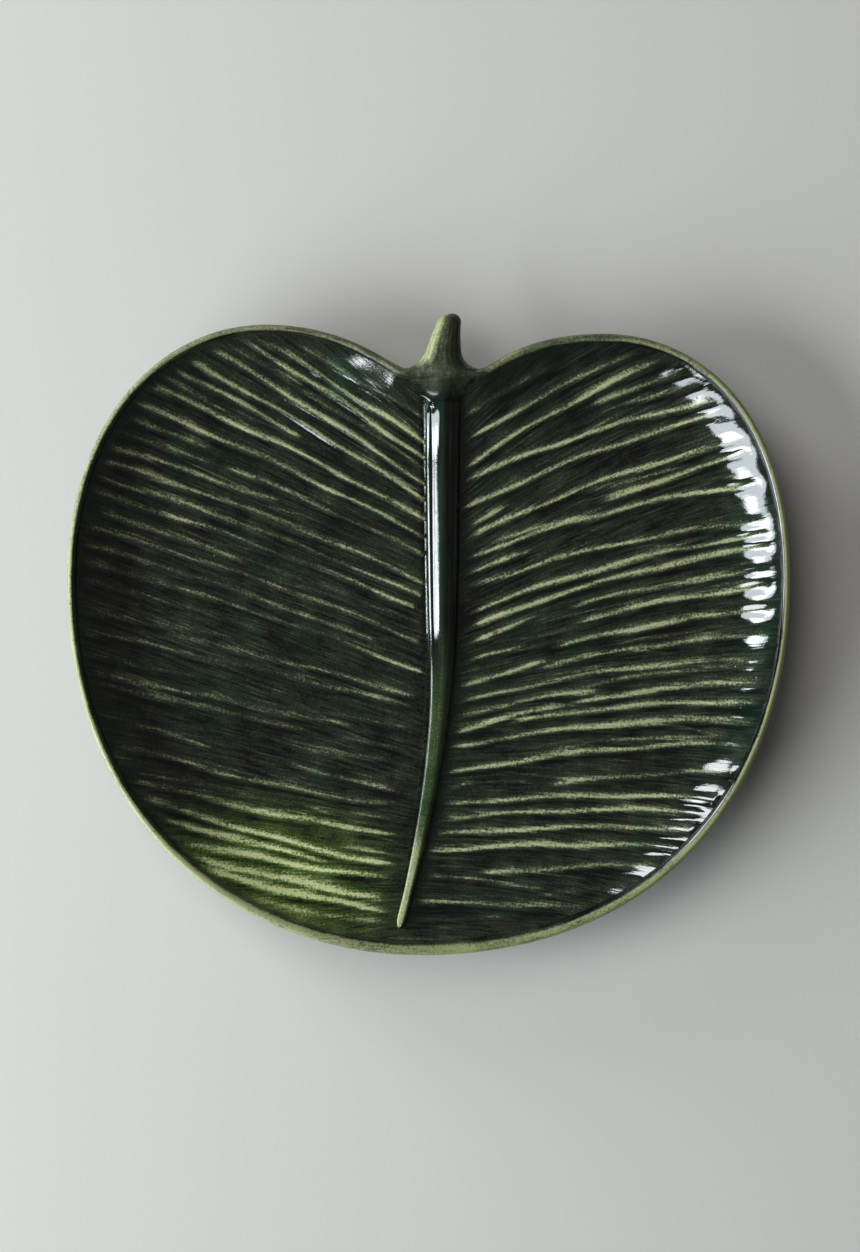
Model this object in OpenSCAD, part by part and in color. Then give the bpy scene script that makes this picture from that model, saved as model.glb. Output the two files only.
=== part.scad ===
// Leaf shaped stoneware plate, put together in the clay state and fired as one:
// a pressed leaf blade with carved veins, a lip coil round its edge, a midrib and a stem
// luted on top, and a turned foot ring underneath.
// Millimetres, +Z up, +Y from the leaf's tip to its stem.
// The origin is on the table, under the middle of the plate.

/* [Leaf outline] */
// Width of the leaf over its two sides
leaf_w = 200; // [180:1:230]
// Distance from the tip to the widest line
widest_from_tip = 103.7; // [98:0.1:112]
// Distance from the tip to the top of the left lobe
left_lobe_from_tip = 174.4; // [168:0.1:180]
// Distance from the tip to the top of the right lobe
right_lobe_from_tip = 171.9; // [166:0.1:178]
// Distance from the tip to the edge in the notch between the lobes
notch_from_tip = 162.2; // [156:0.1:166]
// Sideways distance of the left lobe from the middle
left_lobe_x = 45; // [40:0.5:52]
// Sideways distance of the right lobe from the middle
right_lobe_x = 48.5; // [42:0.5:54]
// Sideways place of the tip
tip_x = -2; // [-8:0.5:8]

/* [Edge curves] */
// Handle of the curve that leaves the notch
notch_turn = 4; // [2:0.5:6]
// Handle of the curve that enters a lobe from the notch
lobe_shoulder = 24; // [18:0.5:28]
// Handle on the outer side of the left lobe's top
left_lobe_bulge = 28.5; // [22:0.5:34]
// Handle on the outer side of the right lobe's top
right_lobe_bulge = 23.5; // [18:0.5:30]
// Handle above the widest line on the left
left_side_rise = 45; // [38:0.5:55]
// Handle above the widest line on the right
right_side_rise = 51; // [40:0.5:58]
// Handle below the widest line on the left
left_side_fall = 69; // [50:0.5:75]
// Handle below the widest line on the right
right_side_fall = 58; // [45:0.5:70]
// Handle at the tip on the left
left_tip_bulge = 50; // [40:0.5:65]
// Handle at the tip on the right
right_tip_bulge = 67; // [50:0.5:75]

/* [Section] */
// Height of the rim above the table
rim_h = 20; // [18:0.5:26]
// Thickness of the floor
floor_t = 5; // [4:0.1:6]
// Width of the curved wall, measured in from the edge
wall_run = 25; // [20:0.5:30]
// How sharply the wall turns up towards the edge
wall_curve = 2.5; // [2:0.1:3]
// Width of the curve underneath, measured in from the edge
under_run = 21; // [18:0.5:24]
// How sharply the underside turns up towards the edge
under_curve = 2.2; // [1.8:0.1:2.6]

/* [Lip] */
// Width of the lip
lip_w = 2.6; // [2.2:0.1:3.2]
// Width of the lip at the tip of the leaf
lip_tip_w = 4; // [2.6:0.1:5]
// Height of the lip on its outer side
lip_h = 4; // [3.2:0.1:5]
// Drop from the rim to the crease where the lip meets the wall
lip_drop = 2.1; // [1.4:0.1:2.6]

/* [Midrib] */
// Width of the midrib at the stem
midrib_w = 9.8; // [8:0.1:11]
// Width of the midrib just before its tip
midrib_tip_w = 3; // [2:0.1:4]
// Height of the midrib above the floor
midrib_h = 3.4; // [2.5:0.1:4.5]
// Height of the midrib just before its tip
midrib_tip_h = 1.8; // [1.2:0.1:2.4]
// Distance from the leaf's tip to the end of the midrib
midrib_end_from_tip = 7.2; // [6:0.1:14]
// Distance from the notch to the joint of midrib and stem
joint_from_notch = 8.8; // [7:0.1:11]
// Sideways place of the midrib's end
midrib_end_x = -8; // [-12:0.5:4]
// Distance from the leaf's tip to the place where the swing starts
sweep_from_tip = 87; // [70:1:110]
// Upright shoulder at the foot of the midrib
shoulder_h = 0.5; // [0.3:0.1:0.8]

/* [Stem] */
// Sideways place of the stem and the midrib
stem_x = 4; // [-6:0.5:8]
// Reach of the stem beyond the edge in the notch
stem_reach = 15.2; // [13:0.1:22]
// Width of the stem at the edge, without its fillets
stem_w = 11.6; // [10:0.1:13]
// Width of the stem where its round end begins
stem_end_w = 7; // [6:0.1:9]
// Radius of the fillets between stem and lip
stem_fillet_r = 4; // [3:0.1:5]
// Height of the stem's crown above the rim
stem_proud = 1.6; // [0.8:0.1:3]
// Sideways lean of the stem's end
stem_lean = 2.4; // [-4:0.1:4]

/* [Veins] */
// Veins on each side between the joint and the end of the midrib
vein_count = 33; // [24:1:34]
// Veins on each side that run out between notch and lobe
lobe_veins = 3; // [2:1:5]
// Height of a vein's crest above the floor
vein_h = 0.9; // [0.4:0.1:1.4]
// Share by which the crests differ in height
vein_spread = 0.3; // [0:0.05:0.5]
// Sideways waver of a vein along its run
vein_waver = 0.5; // [0:0.1:0.8]
// How far the knee of a vein on the left bows up
left_vein_bow = 0; // [0:0.5:9]
// How far the knee of a vein on the right bows up
right_vein_bow = 9; // [0:0.5:10]
// How steeply the lower veins on the left climb to the edge
left_vein_climb = 2.3; // [0:0.1:2.5]
// How steeply the lower veins on the right climb to the edge
right_vein_climb = 0; // [0:0.1:2.5]
// How the veins spread apart under the lobes, where 1 is evenly
vein_fan = 0.75; // [0.65:0.01:1]
// Where the last vein ends on the edge, from the widest line at 2 to the tip at 3
last_vein_place = 2.8; // [2.6:0.01:2.9]
// Width of the wall over which the veins fade out
vein_fade = 7; // [6:0.5:14]
// Distance from the lip at which the veins have faded out
vein_stop = 1; // [0:0.1:2]
// Width of the groove along the midrib
groove_w = 1.9; // [1.2:0.1:2.4]
// Depth of the groove along the midrib
groove_d = 0.5; // [0.2:0.1:0.8]

/* [Foot] */
// Outer diameter of the foot ring
foot_d = 104; // [80:1:110]
// Width of the foot ring where it meets the blade
foot_w = 8; // [6:0.5:12]
// Height of the foot ring
foot_h = 3; // [2:0.1:5]
// Distance from the leaf's tip to the middle of the foot ring
foot_from_tip = 82; // [78:0.5:86]
// Radius of the foot ring's lower edges
foot_edge_r = 1.2; // [0.6:0.1:1.8]

/* [Hidden] */
$fn = 96;

leaf_green = [0.10, 0.16, 0.11];
lip_olive = [0.42, 0.43, 0.30];
rib_green = [0.16, 0.23, 0.17];
clay_buff = [0.72, 0.66, 0.56];

// Places in plan
stem_end_from_tip = notch_from_tip + stem_reach;
overall_l = max(left_lobe_from_tip, right_lobe_from_tip, stem_end_from_tip);
tip_y = -overall_l / 2;
notch_y = tip_y + notch_from_tip;
joint_y = notch_y - joint_from_notch;
seat_y = notch_y - lip_w;
midrib_end_y = tip_y + midrib_end_from_tip;
midrib_round = 1.2 * midrib_tip_w;
stem_flat = 0.6;
vein_end_y = midrib_end_y + midrib_round;
sweep_y = tip_y + sweep_from_tip;
sweep_curve = 1.85;
taper_curve = 1.7;
root_w = stem_w + 2 * stem_fillet_r;
leaf_tip = [tip_x, tip_y];
// Place on the edge below which the lip swells, with the widest line at 2 and the tip at 3
lip_swell_place = 2.1;

// Heights
floor_z = foot_h + floor_t;
lip_foot_z = rim_h - lip_h;
crease_z = rim_h - lip_drop;
wall_rise = (crease_z - floor_z) / pow(1 - lip_w / wall_run, wall_curve);
crown_z = rim_h + stem_proud;

// Lines that run from the midrib to the edge on one side: beside the stem's root,
// four to a vein, and round the midrib's end
lines_per_vein = 4;
root_lines = 8;
end_lines = 12;
lobe_line = root_lines + lobe_veins * lines_per_vein;
end_line = root_lines + vein_count * lines_per_vein;
side_lines = end_line + end_lines;
line_count = 2 * side_lines;
edge_count = line_count / 2;
bed_count = line_count / lines_per_vein;
vein_section = [0, 0.35, 1, 0.35];
// Angles by which crest height and waver differ from vein to vein and from ring to ring
crest_turn = 137.5;
crest_ring_turn = 70;
waver_line_turn = 9;
waver_ring_turn = 50;

// Rings that cross those lines, counted out from the midrib
inner_rings = 2;
floor_rings = 3;
wall_steps = [for (share = [0.56, 0.34, 0.18, 0.072]) share * wall_run];
wall_shares = [0.45, 0.3, 0.18, 0.08];
ring_count = inner_rings + floor_rings + len(wall_steps);

// Distances in from the edge at which the underside is drawn
under_steps = [for (share = [0.14, 0.35, 0.62, 1]) share * under_run];

function mix(a, b, t) = a + (b - a) * t;
function clamp01(t) = min(1, max(0, t));
function smooth(t) = let (c = clamp01(t)) c * c * (3 - 2 * c);

// One cubic curve through four control points, and its direction
function bezier(c, t) =
    pow(1 - t, 3) * c[0] + 3 * t * pow(1 - t, 2) * c[1] + 3 * t * t * (1 - t) * c[2] + pow(t, 3) * c[3];
function bezier_dir(c, t) =
    pow(1 - t, 2) * (c[1] - c[0]) + 2 * t * (1 - t) * (c[2] - c[1]) + t * t * (c[3] - c[2]);

// Each side of the outline in three curves: notch to lobe, lobe to widest line, widest line to tip
function side_curves(hand, lobe, lobe_bulge, side_rise, side_fall, tip_bulge) =
    let (notch = [stem_x + hand * root_w / 2, notch_y])
    let (widest = [hand * leaf_w / 2, tip_y + widest_from_tip])
    [
        [notch, notch + [hand * notch_turn, 0], lobe - [hand * lobe_shoulder, 0], lobe],
        [lobe, lobe + [hand * lobe_bulge, 0], widest + [0, side_rise], widest],
        [widest, widest - [0, side_fall], leaf_tip + [hand * tip_bulge, 0], leaf_tip]
    ];
left_lobe = [-left_lobe_x, tip_y + left_lobe_from_tip];
right_lobe = [right_lobe_x, tip_y + right_lobe_from_tip];
sides = [
    side_curves(-1, left_lobe, left_lobe_bulge, left_side_rise, left_side_fall, left_tip_bulge),
    side_curves(1, right_lobe, right_lobe_bulge, right_side_rise, right_side_fall, right_tip_bulge)
];
vein_bow = [left_vein_bow, right_vein_bow];
vein_climb = [left_vein_climb, right_vein_climb];

// A place on a side runs from 0 in the notch, past 1 on the lobe and 2 on the widest line, to 3 at the tip
function edge_point(right, place) =
    let (part = min(2, floor(place)))
    bezier(sides[right][part], place - part);
function edge_inward(right, place) =
    let (part = min(2, floor(place)))
    let (dir = bezier_dir(sides[right][part], place - part))
    let (unit = dir / norm(dir))
    right == 0 ? [-unit[1], unit[0]] : [unit[1], -unit[0]];

// Where a line meets the edge: evenly spread up to the lobe, fanned out under it, evenly spread at the tip
function line_place(right, line) =
    line <= lobe_line ? line / lobe_line
        : line <= end_line ? vein_place(right, (line - lobe_line) / (end_line - lobe_line))
        : mix(vein_place(right, 1), 3, (line - end_line) / end_lines);
function vein_place(right, share) =
    mix(1, last_vein_place, pow(share, vein_fan)) - vein_climb[right] * pow(share, 3) * (1 - share);

// Where a line starts on the midrib's bed, and the bed's half width there
function line_y(line) =
    line <= root_lines ? mix(seat_y, joint_y, line / root_lines)
        : line <= end_line ? mix(joint_y, vein_end_y, (line - root_lines) / (end_line - root_lines))
        : vein_end_y - midrib_round * sin(90 * (line - end_line) / end_lines);
function bed_x(y) =
    mix(stem_x, midrib_end_x, pow(clamp01((sweep_y - y) / (sweep_y - midrib_end_y)), sweep_curve));
function rib_taper(y) = pow(clamp01((joint_y - y) / (joint_y - vein_end_y)), taper_curve);
function bed_half(line) =
    line <= root_lines ? mix(root_w, midrib_w, sin(90 * line / root_lines)) / 2
        : line <= end_line ? mix(midrib_w, midrib_tip_w, rib_taper(line_y(line))) / 2
        : midrib_tip_w / 2 * cos(90 * (line - end_line) / end_lines);
function bed_point(right, line) =
    let (y = line_y(line))
    [bed_x(y) + (right == 0 ? -1 : 1) * bed_half(line), y];

// The edge as a list of points all the way round, and the distance of a point from it
function line_hand(index) = index <= side_lines ? 0 : 1;
function line_on_side(index) = index <= side_lines ? index : line_count - index;
edge_places = [for (i = [0:edge_count]) line_place(line_hand(2 * i), line_on_side(2 * i))];
edge = [for (i = [0:edge_count]) edge_point(line_hand(2 * i), edge_places[i])];
edge_normals = [for (i = [0:edge_count]) edge_inward(line_hand(2 * i), edge_places[i])];
function to_segment(p, a, b) =
    let (along = b - a)
    norm(p - a - clamp01((p - a) * along / (along * along)) * along);
function from_edge(p) =
    min([for (i = [0:edge_count]) to_segment(p, edge[i], edge[(i + 1) % (edge_count + 1)])]);

// Heights of the well, the midrib's bed and the underside
function well_z(inset) = floor_z + wall_rise * pow(clamp01(1 - inset / wall_run), wall_curve);
function bed_z(line) =
    line == 0 ? crease_z
        : let (y = line_y(line)) well_z(from_edge([bed_x(y), y]));
function under_z(inset) = foot_h + (lip_foot_z - foot_h) * pow(clamp01(1 - inset / under_run), under_curve);

// The lip is wider towards the tip, and its section is a rounded coil on the wall's sloping top
function lip_width(place) =
    mix(lip_w, lip_tip_w, smooth((place - lip_swell_place) / (3 - lip_swell_place)));
function lip_section(width) =
    let (crest = lip_w / 2)
    let (round_h = 0.6 * lip_h)
    concat(
        [[0, lip_foot_z]],
        [for (a = [0, 45]) [crest * (1 - cos(a)), rim_h - round_h * (1 - sin(a))]],
        [for (a = [0, 35, 65, 90])
            [mix(crest, width, sin(a)), mix(well_z(width), rim_h, cos(a))]]
    );
lip_sides = len(lip_section(lip_w));
function edge_inset(i, inset) = edge[i] + inset * edge_normals[i];
function crease_point(right, place) =
    edge_point(right, place) + lip_width(place) * edge_inward(right, place);

// A point of the veined surface, on one line and one ring
function ring_share(ring, run) =
    let (inner = min(groove_w / run, 0.2))
    let (outer = [for (i = [0:len(wall_steps) - 1]) 1 - min(wall_steps[i] / run, wall_shares[i])])
    ring <= inner_rings ? inner * ring / inner_rings
        : ring <= inner_rings + floor_rings
            ? mix(inner, outer[0], (ring - inner_rings) / (floor_rings + 1))
        : outer[ring - inner_rings - floor_rings - 1];
function vein_rise(line, ring, inset) =
    let (vein = floor((line - root_lines) / lines_per_vein))
    let (carved = line > root_lines && line < end_line ? vein_section[line % lines_per_vein] : 0)
    let (uneven = 1 - vein_spread * (0.5 + 0.5 * sin(crest_turn * vein + crest_ring_turn * ring)))
    let (fade = smooth((inset - lip_w - vein_stop) / vein_fade))
    let (start = ring == inner_rings ? 0.5 : 1)
    vein_h * carved * uneven * fade * start;
function surface_point(index, ring) =
    let (right = line_hand(index), line = line_on_side(index))
    let (start = bed_point(right, line))
    let (end = crease_point(right, line_place(right, line)))
    let (run = norm(end - start))
    let (t = ring_share(ring, run))
    let (lift = vein_bow[right] * smooth(line / lobe_line - 0.5) * (1 - line / side_lines))
    let (knee = (start + end) / 2 + [0, lift])
    let (along = (end - start) / run)
    let (sway = sin(waver_line_turn * line + waver_ring_turn * ring) * smooth(line / lobe_line - 1))
    let (waver = vein_waver * 4 * t * (1 - t) * sway)
    let (p = pow(1 - t, 2) * start + 2 * t * (1 - t) * knee + t * t * end + waver * [-along[1], along[0]])
    let (inset = from_edge(p))
    let (cut = ring == 1 ? -groove_d : vein_rise(line, ring, inset))
    [p[0], p[1], well_z(inset) + cut];

// Two triangles for four corners, and a test that drops triangles with a doubled corner
function quad(a, b, c, d) = [[a, b, c], [a, c, d]];
function whole(faces) = [for (f = faces) if (f[0] != f[1] && f[1] != f[2] && f[2] != f[0]) f];
function flatten(lists) = [for (list = lists) for (item = list) item];

// A solid through a list of closed sections, ended by flat caps, or by a point where one is given
module loft(sections, point = undef) {
    count = len(sections[0]);
    last = len(sections) - 1;
    pointed = !is_undef(point);
    skin = flatten([
        for (s = [0:last - 1])
            for (i = [0:count - 1])
                let (j = (i + 1) % count)
                quad(s * count + i, s * count + j, (s + 1) * count + j, (s + 1) * count + i)
    ]);
    front = [for (i = [1:count - 2]) [0, i + 1, i]];
    back = pointed
        ? [for (i = [0:count - 1]) [last * count + i, last * count + (i + 1) % count, (last + 1) * count]]
        : [for (i = [1:count - 2]) [last * count, last * count + i, last * count + i + 1]];
    polyhedron(
        points = concat(flatten(sections), pointed ? [point] : []),
        faces = concat(front, skin, back)
    );
}

// Flat seat, upright shoulders and a rounded crown, from the left foot round to the left shoulder
function rib_section(left, right, y, foot_z, side_z, top_z) =
    concat(
        [[left, y, foot_z], [right, y, foot_z]],
        [for (a = [0:30:180])
            [mix(left, right, 0.5 + 0.5 * cos(a)), y, mix(side_z, top_z, sin(a))]]
    );

// Round section of the stem beyond the edge, flat underneath, with its points in the order of rib_section
function stem_section(middle, half, y, under, axis, top) =
    concat(
        [for (hand = [-1, 1]) [middle + hand * stem_flat * half, y, under]],
        [for (a = [0:30:180]) [middle + half * cos(a), y, mix(axis, top, sin(a))]]
    );

// Pressed slab with its carved veins
module leaf_blade() {
    bed = [
        for (q = [0:bed_count])
            let (index = q * lines_per_vein, line = line_on_side(index))
            concat(bed_point(line_hand(index), line), bed_z(line))
    ];
    veined = [for (ring = [1:ring_count]) for (index = [1:line_count - 1]) surface_point(index, ring)];
    crease = [
        for (i = [1:edge_count - 1])
            concat(edge_inset(i, lip_width(edge_places[i])), well_z(lip_width(edge_places[i])))
    ];
    outside = [
        for (inset = concat([0], under_steps))
            for (i = [0:edge_count]) concat(edge_inset(i, inset), under_z(inset))
    ];
    middle = [[0, tip_y + foot_from_tip, foot_h]];

    veined_at = len(bed);
    crease_at = veined_at + len(veined);
    outside_at = crease_at + len(crease);
    middle_at = outside_at + len(outside);
    function on_ring(index, ring) =
        index == 0 ? 0
            : index == line_count ? bed_count
            : veined_at + (ring - 1) * (line_count - 1) + index - 1;
    function on_crease(i) = i == 0 ? 0 : i == edge_count ? bed_count : crease_at + i - 1;
    function on_outside(i, ring) = outside_at + ring * (edge_count + 1) + i;

    bed_faces = flatten([
        for (q = [0:bed_count / 2 - 1])
            quad(q, bed_count - q, bed_count - q - 1, q + 1)
    ]);
    groove_faces = flatten([
        for (q = [0:bed_count - 1])
            let (f = [for (i = [0:lines_per_vein]) on_ring(q * lines_per_vein + i, 1)])
            [[q, f[1], f[0]], [q, f[2], f[1]], [q, q + 1, f[2]], [q + 1, f[3], f[2]], [q + 1, f[4], f[3]]]
    ]);
    veined_faces = flatten([
        for (ring = [1:ring_count - 1])
            for (i = [0:line_count - 1])
                quad(on_ring(i, ring), on_ring(i + 1, ring), on_ring(i + 1, ring + 1), on_ring(i, ring + 1))
    ]);
    wall_faces = flatten([
        for (i = [0:edge_count - 1])
            let (f = [for (step = [0:2]) on_ring(2 * i + step, ring_count)])
            let (a = on_crease(i), b = on_crease(i + 1))
            [[f[0], f[1], a], [f[1], b, a], [f[1], f[2], b]]
    ]);
    edge_faces = flatten([
        for (i = [0:edge_count])
            let (j = (i + 1) % (edge_count + 1))
            quad(on_crease(i), on_crease(j), on_outside(j, 0), on_outside(i, 0))
    ]);
    under_faces = flatten([
        for (ring = [0:len(under_steps) - 1])
            for (i = [0:edge_count])
                let (j = (i + 1) % (edge_count + 1))
                quad(on_outside(i, ring), on_outside(j, ring), on_outside(j, ring + 1), on_outside(i, ring + 1))
    ]);
    base_faces = [
        for (i = [0:edge_count])
            let (j = (i + 1) % (edge_count + 1))
            [on_outside(i, len(under_steps)), on_outside(j, len(under_steps)), middle_at]
    ];
    color(leaf_green)
        polyhedron(
            points = concat(bed, veined, crease, outside, middle),
            faces = whole(concat(
                bed_faces, groove_faces, veined_faces, wall_faces, edge_faces, under_faces, base_faces
            ))
        );
}

// Coil along the edge of the blade, from one side of the stem round to the other
module rim_bead() {
    sections = [
        for (i = [0:edge_count])
            [for (p = lip_section(lip_width(edge_places[i]))) concat(edge_inset(i, p[0]), p[1])]
    ];
    color(lip_olive)
        loft(sections);
}

// Rounded coil down the middle of the leaf, thinner towards the tip
module midrib() {
    rows = [for (line = [root_lines:lines_per_vein:side_lines - lines_per_vein]) line];
    sections = [
        for (line = rows)
            let (left = bed_point(0, line), right = bed_point(1, line), z = bed_z(line))
            let (thin = rib_taper(left[1]))
            let (rounding = line <= end_line ? 1 : cos(90 * (line - end_line) / end_lines))
            let (height = mix(midrib_h, midrib_tip_h, thin) * rounding)
            let (section = rib_section(left[0], right[0], left[1], z, z + shoulder_h * rounding, z + height))
            [for (k = [len(section) - 1:-1:0]) section[k]]
    ];
    end = concat(bed_point(0, side_lines), bed_z(side_lines));
    color(rib_green)
        loft(sections, end);
}

// Nub that carries the midrib on over the edge, with fillets into the lip on both sides
module stem() {
    axis_z = (lip_foot_z + crown_z) / 2;
    joint_top = bed_z(root_lines) + midrib_h;
    round_from = stem_reach - stem_end_w / 2;
    function root_crown(y) = mix(joint_top, crown_z, smooth((y - joint_y) / (notch_y - joint_y)));
    function stem_mid(out) = stem_x + stem_lean * pow(out / stem_reach, 2);
    function stem_half(out) =
        let (taper = mix(stem_w, stem_end_w, clamp01(out / round_from)) / 2)
        let (gone = clamp01((out - round_from) / (stem_reach - round_from)))
        let (fillet = out < stem_fillet_r
            ? stem_fillet_r - sqrt(pow(stem_fillet_r, 2) - pow(stem_fillet_r - out, 2)) : 0)
        taper * sqrt(1 - gone * gone) + fillet;

    on_bed = [
        for (line = [root_lines:-lines_per_vein:lines_per_vein])
            let (left = bed_point(0, line), right = bed_point(1, line), z = bed_z(line))
            rib_section(left[0], right[0], left[1], z, z + shoulder_h, root_crown(left[1]))
    ];
    lip = lip_section(lip_w);
    on_edge = [
        for (k = [lip_sides - 1:-1:1])
            let (y = notch_y - lip[k][0])
            let (seat_z = mix(lip_foot_z, crease_z, lip[k][0] / lip_w))
            let (side_z = max(lip[k][1], seat_z + shoulder_h))
            rib_section(stem_x - root_w / 2, stem_x + root_w / 2, y, seat_z, side_z, root_crown(y))
    ];
    beyond = [
        for (out = concat(
            [for (a = [30, 60, 90]) stem_fillet_r * (1 - cos(a))],
            [mix(stem_fillet_r, round_from, 0.5), round_from],
            [for (a = [30, 60, 80]) mix(round_from, stem_reach, sin(a))]
        ))
            let (half = stem_half(out))
            let (gone = clamp01((out - round_from) / (stem_reach - round_from)))
            let (thick = sqrt(1 - gone * gone))
            stem_section(
                stem_mid(out), half, notch_y + out,
                mix(axis_z, lip_foot_z, thick), axis_z, mix(axis_z, crown_z, thick)
            )
    ];
    color(rib_green)
        loft(concat(on_bed, on_edge, beyond), [stem_mid(stem_reach), notch_y + stem_reach, axis_z]);
}

// Turned ring under the middle of the blade, with rounded lower edges
module foot_ring() {
    inner_r = foot_d / 2 - foot_w;
    flare = foot_h / 3;
    color(clay_buff)
        translate([0, tip_y + foot_from_tip, 0])
            rotate_extrude()
                union() {
                    translate([inner_r + flare + foot_edge_r, 0])
                        square([foot_w - 2 * flare - 2 * foot_edge_r, foot_edge_r]);
                    for (r = [inner_r + flare + foot_edge_r, foot_d / 2 - flare - foot_edge_r])
                        translate([r, foot_edge_r])
                            circle(r = foot_edge_r);
                    polygon([
                        [inner_r + flare, foot_edge_r],
                        [foot_d / 2 - flare, foot_edge_r],
                        [foot_d / 2, foot_h],
                        [inner_r, foot_h]
                    ]);
                }
}

leaf_blade();
rim_bead();
midrib();
stem();
foot_ring();
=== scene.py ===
"""Leaf shaped stoneware plate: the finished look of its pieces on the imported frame, as an add-on."""

import math
from typing import NamedTuple

import bmesh
import bpy
import numpy as np
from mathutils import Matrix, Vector, kdtree


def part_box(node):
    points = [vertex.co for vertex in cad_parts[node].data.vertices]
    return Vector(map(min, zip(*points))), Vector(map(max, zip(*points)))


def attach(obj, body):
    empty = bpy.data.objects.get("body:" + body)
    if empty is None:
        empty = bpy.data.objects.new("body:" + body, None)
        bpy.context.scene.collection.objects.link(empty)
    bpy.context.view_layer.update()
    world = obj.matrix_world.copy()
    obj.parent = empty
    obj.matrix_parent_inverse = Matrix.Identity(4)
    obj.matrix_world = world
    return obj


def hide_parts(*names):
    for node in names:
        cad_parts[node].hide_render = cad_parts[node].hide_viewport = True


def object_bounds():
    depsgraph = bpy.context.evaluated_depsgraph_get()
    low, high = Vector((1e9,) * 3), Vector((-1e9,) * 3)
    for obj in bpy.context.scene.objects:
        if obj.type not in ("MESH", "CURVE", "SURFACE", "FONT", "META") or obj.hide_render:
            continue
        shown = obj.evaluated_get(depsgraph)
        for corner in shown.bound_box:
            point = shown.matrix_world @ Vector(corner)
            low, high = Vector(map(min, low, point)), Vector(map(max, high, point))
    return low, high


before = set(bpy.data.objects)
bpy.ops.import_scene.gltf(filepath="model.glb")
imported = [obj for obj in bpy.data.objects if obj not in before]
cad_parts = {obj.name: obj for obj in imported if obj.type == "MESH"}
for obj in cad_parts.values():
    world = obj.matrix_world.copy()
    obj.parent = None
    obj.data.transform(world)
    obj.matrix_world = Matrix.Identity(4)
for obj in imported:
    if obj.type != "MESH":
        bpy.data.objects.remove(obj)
CAD_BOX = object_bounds()

bl_info = {
    "name": "Leaf Plate",
    "version": (1, 0, 0),
    "blender": (4, 5, 0),
    "location": "View3D > Sidebar > Leaf Plate",
    "description": "Builds a leaf shaped stoneware plate with carved veins and a pooled green glaze",
    "category": "Add Mesh",
}

MM = 0.001
LEFT, RIGHT = -1, 1
BODY = "root"
GLAZE_VALUES = ("thin", "bottle", "leafy", "brown", "rills")

# Places in plan: X across the leaf, Y from its tip up to its stem
WIDEST_FROM_TIP = 103.7 * MM
NOTCH_FROM_TIP = 162.2 * MM
TIP_X = -2 * MM
NOTCH_TURN = 4 * MM
LOBE_SHOULDER = 24 * MM
STEM_X = 4 * MM
STEM_FILLET = 4 * MM
JOINT_FROM_NOTCH = 8.8 * MM
MIDRIB_END_FROM_TIP = 7.2 * MM
MIDRIB_SWEEP = 12 * MM
SWEEP_FROM_TIP = 87 * MM
SWEEP_CURVE = 1.85
TAPER_CURVE = 1.7
# Steps down the leaf: y where each starts, and its run
LOWER_HALF = (4 * MM, 16 * MM)
NEAR_TIP = (8 * MM, 36 * MM)
AT_TIP = (-45 * MM, 25 * MM)


class SideCurve(NamedTuple):
    """One side of the outline: the top of its lobe, and the handles of the curves that meet there."""

    lobe_x: float
    lobe_from_tip: float
    lobe_bulge: float
    side_rise: float
    side_fall: float
    tip_bulge: float


SIDES = {
    LEFT: SideCurve(45 * MM, 174.4 * MM, 28.5 * MM, 45 * MM, 69 * MM, 50 * MM),
    RIGHT: SideCurve(48.5 * MM, 171.9 * MM, 23.5 * MM, 51 * MM, 58 * MM, 67 * MM),
}

# Section through the wall
FLOOR_T = 5 * MM
WALL_RUN = 25 * MM
WALL_CURVE = 2.5
UNDER_RUN = 21 * MM
UNDER_CURVE = 2.2
LIP_H = 4 * MM
LIP_DROP = 2.1 * MM
LIP_ROUND = 0.6 * LIP_H
LIP_SWELL_PLACE = 2.1

# Lines from the midrib to the edge, counted from the notch:
# those at the end of the stem's root, at the lobe, at the midrib's end and at the tip
ROOT_LINE, LOBE_LINE, END_LINE, LAST_LINE = 8, 20, 140, 152
LAST_VEIN_PLACE = 2.8
VEIN_FAN = 0.75
LINE_BOW = {LEFT: 0.0, RIGHT: 9 * MM}
LINE_CLIMB = {LEFT: 2.3, RIGHT: 0.0}

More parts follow.
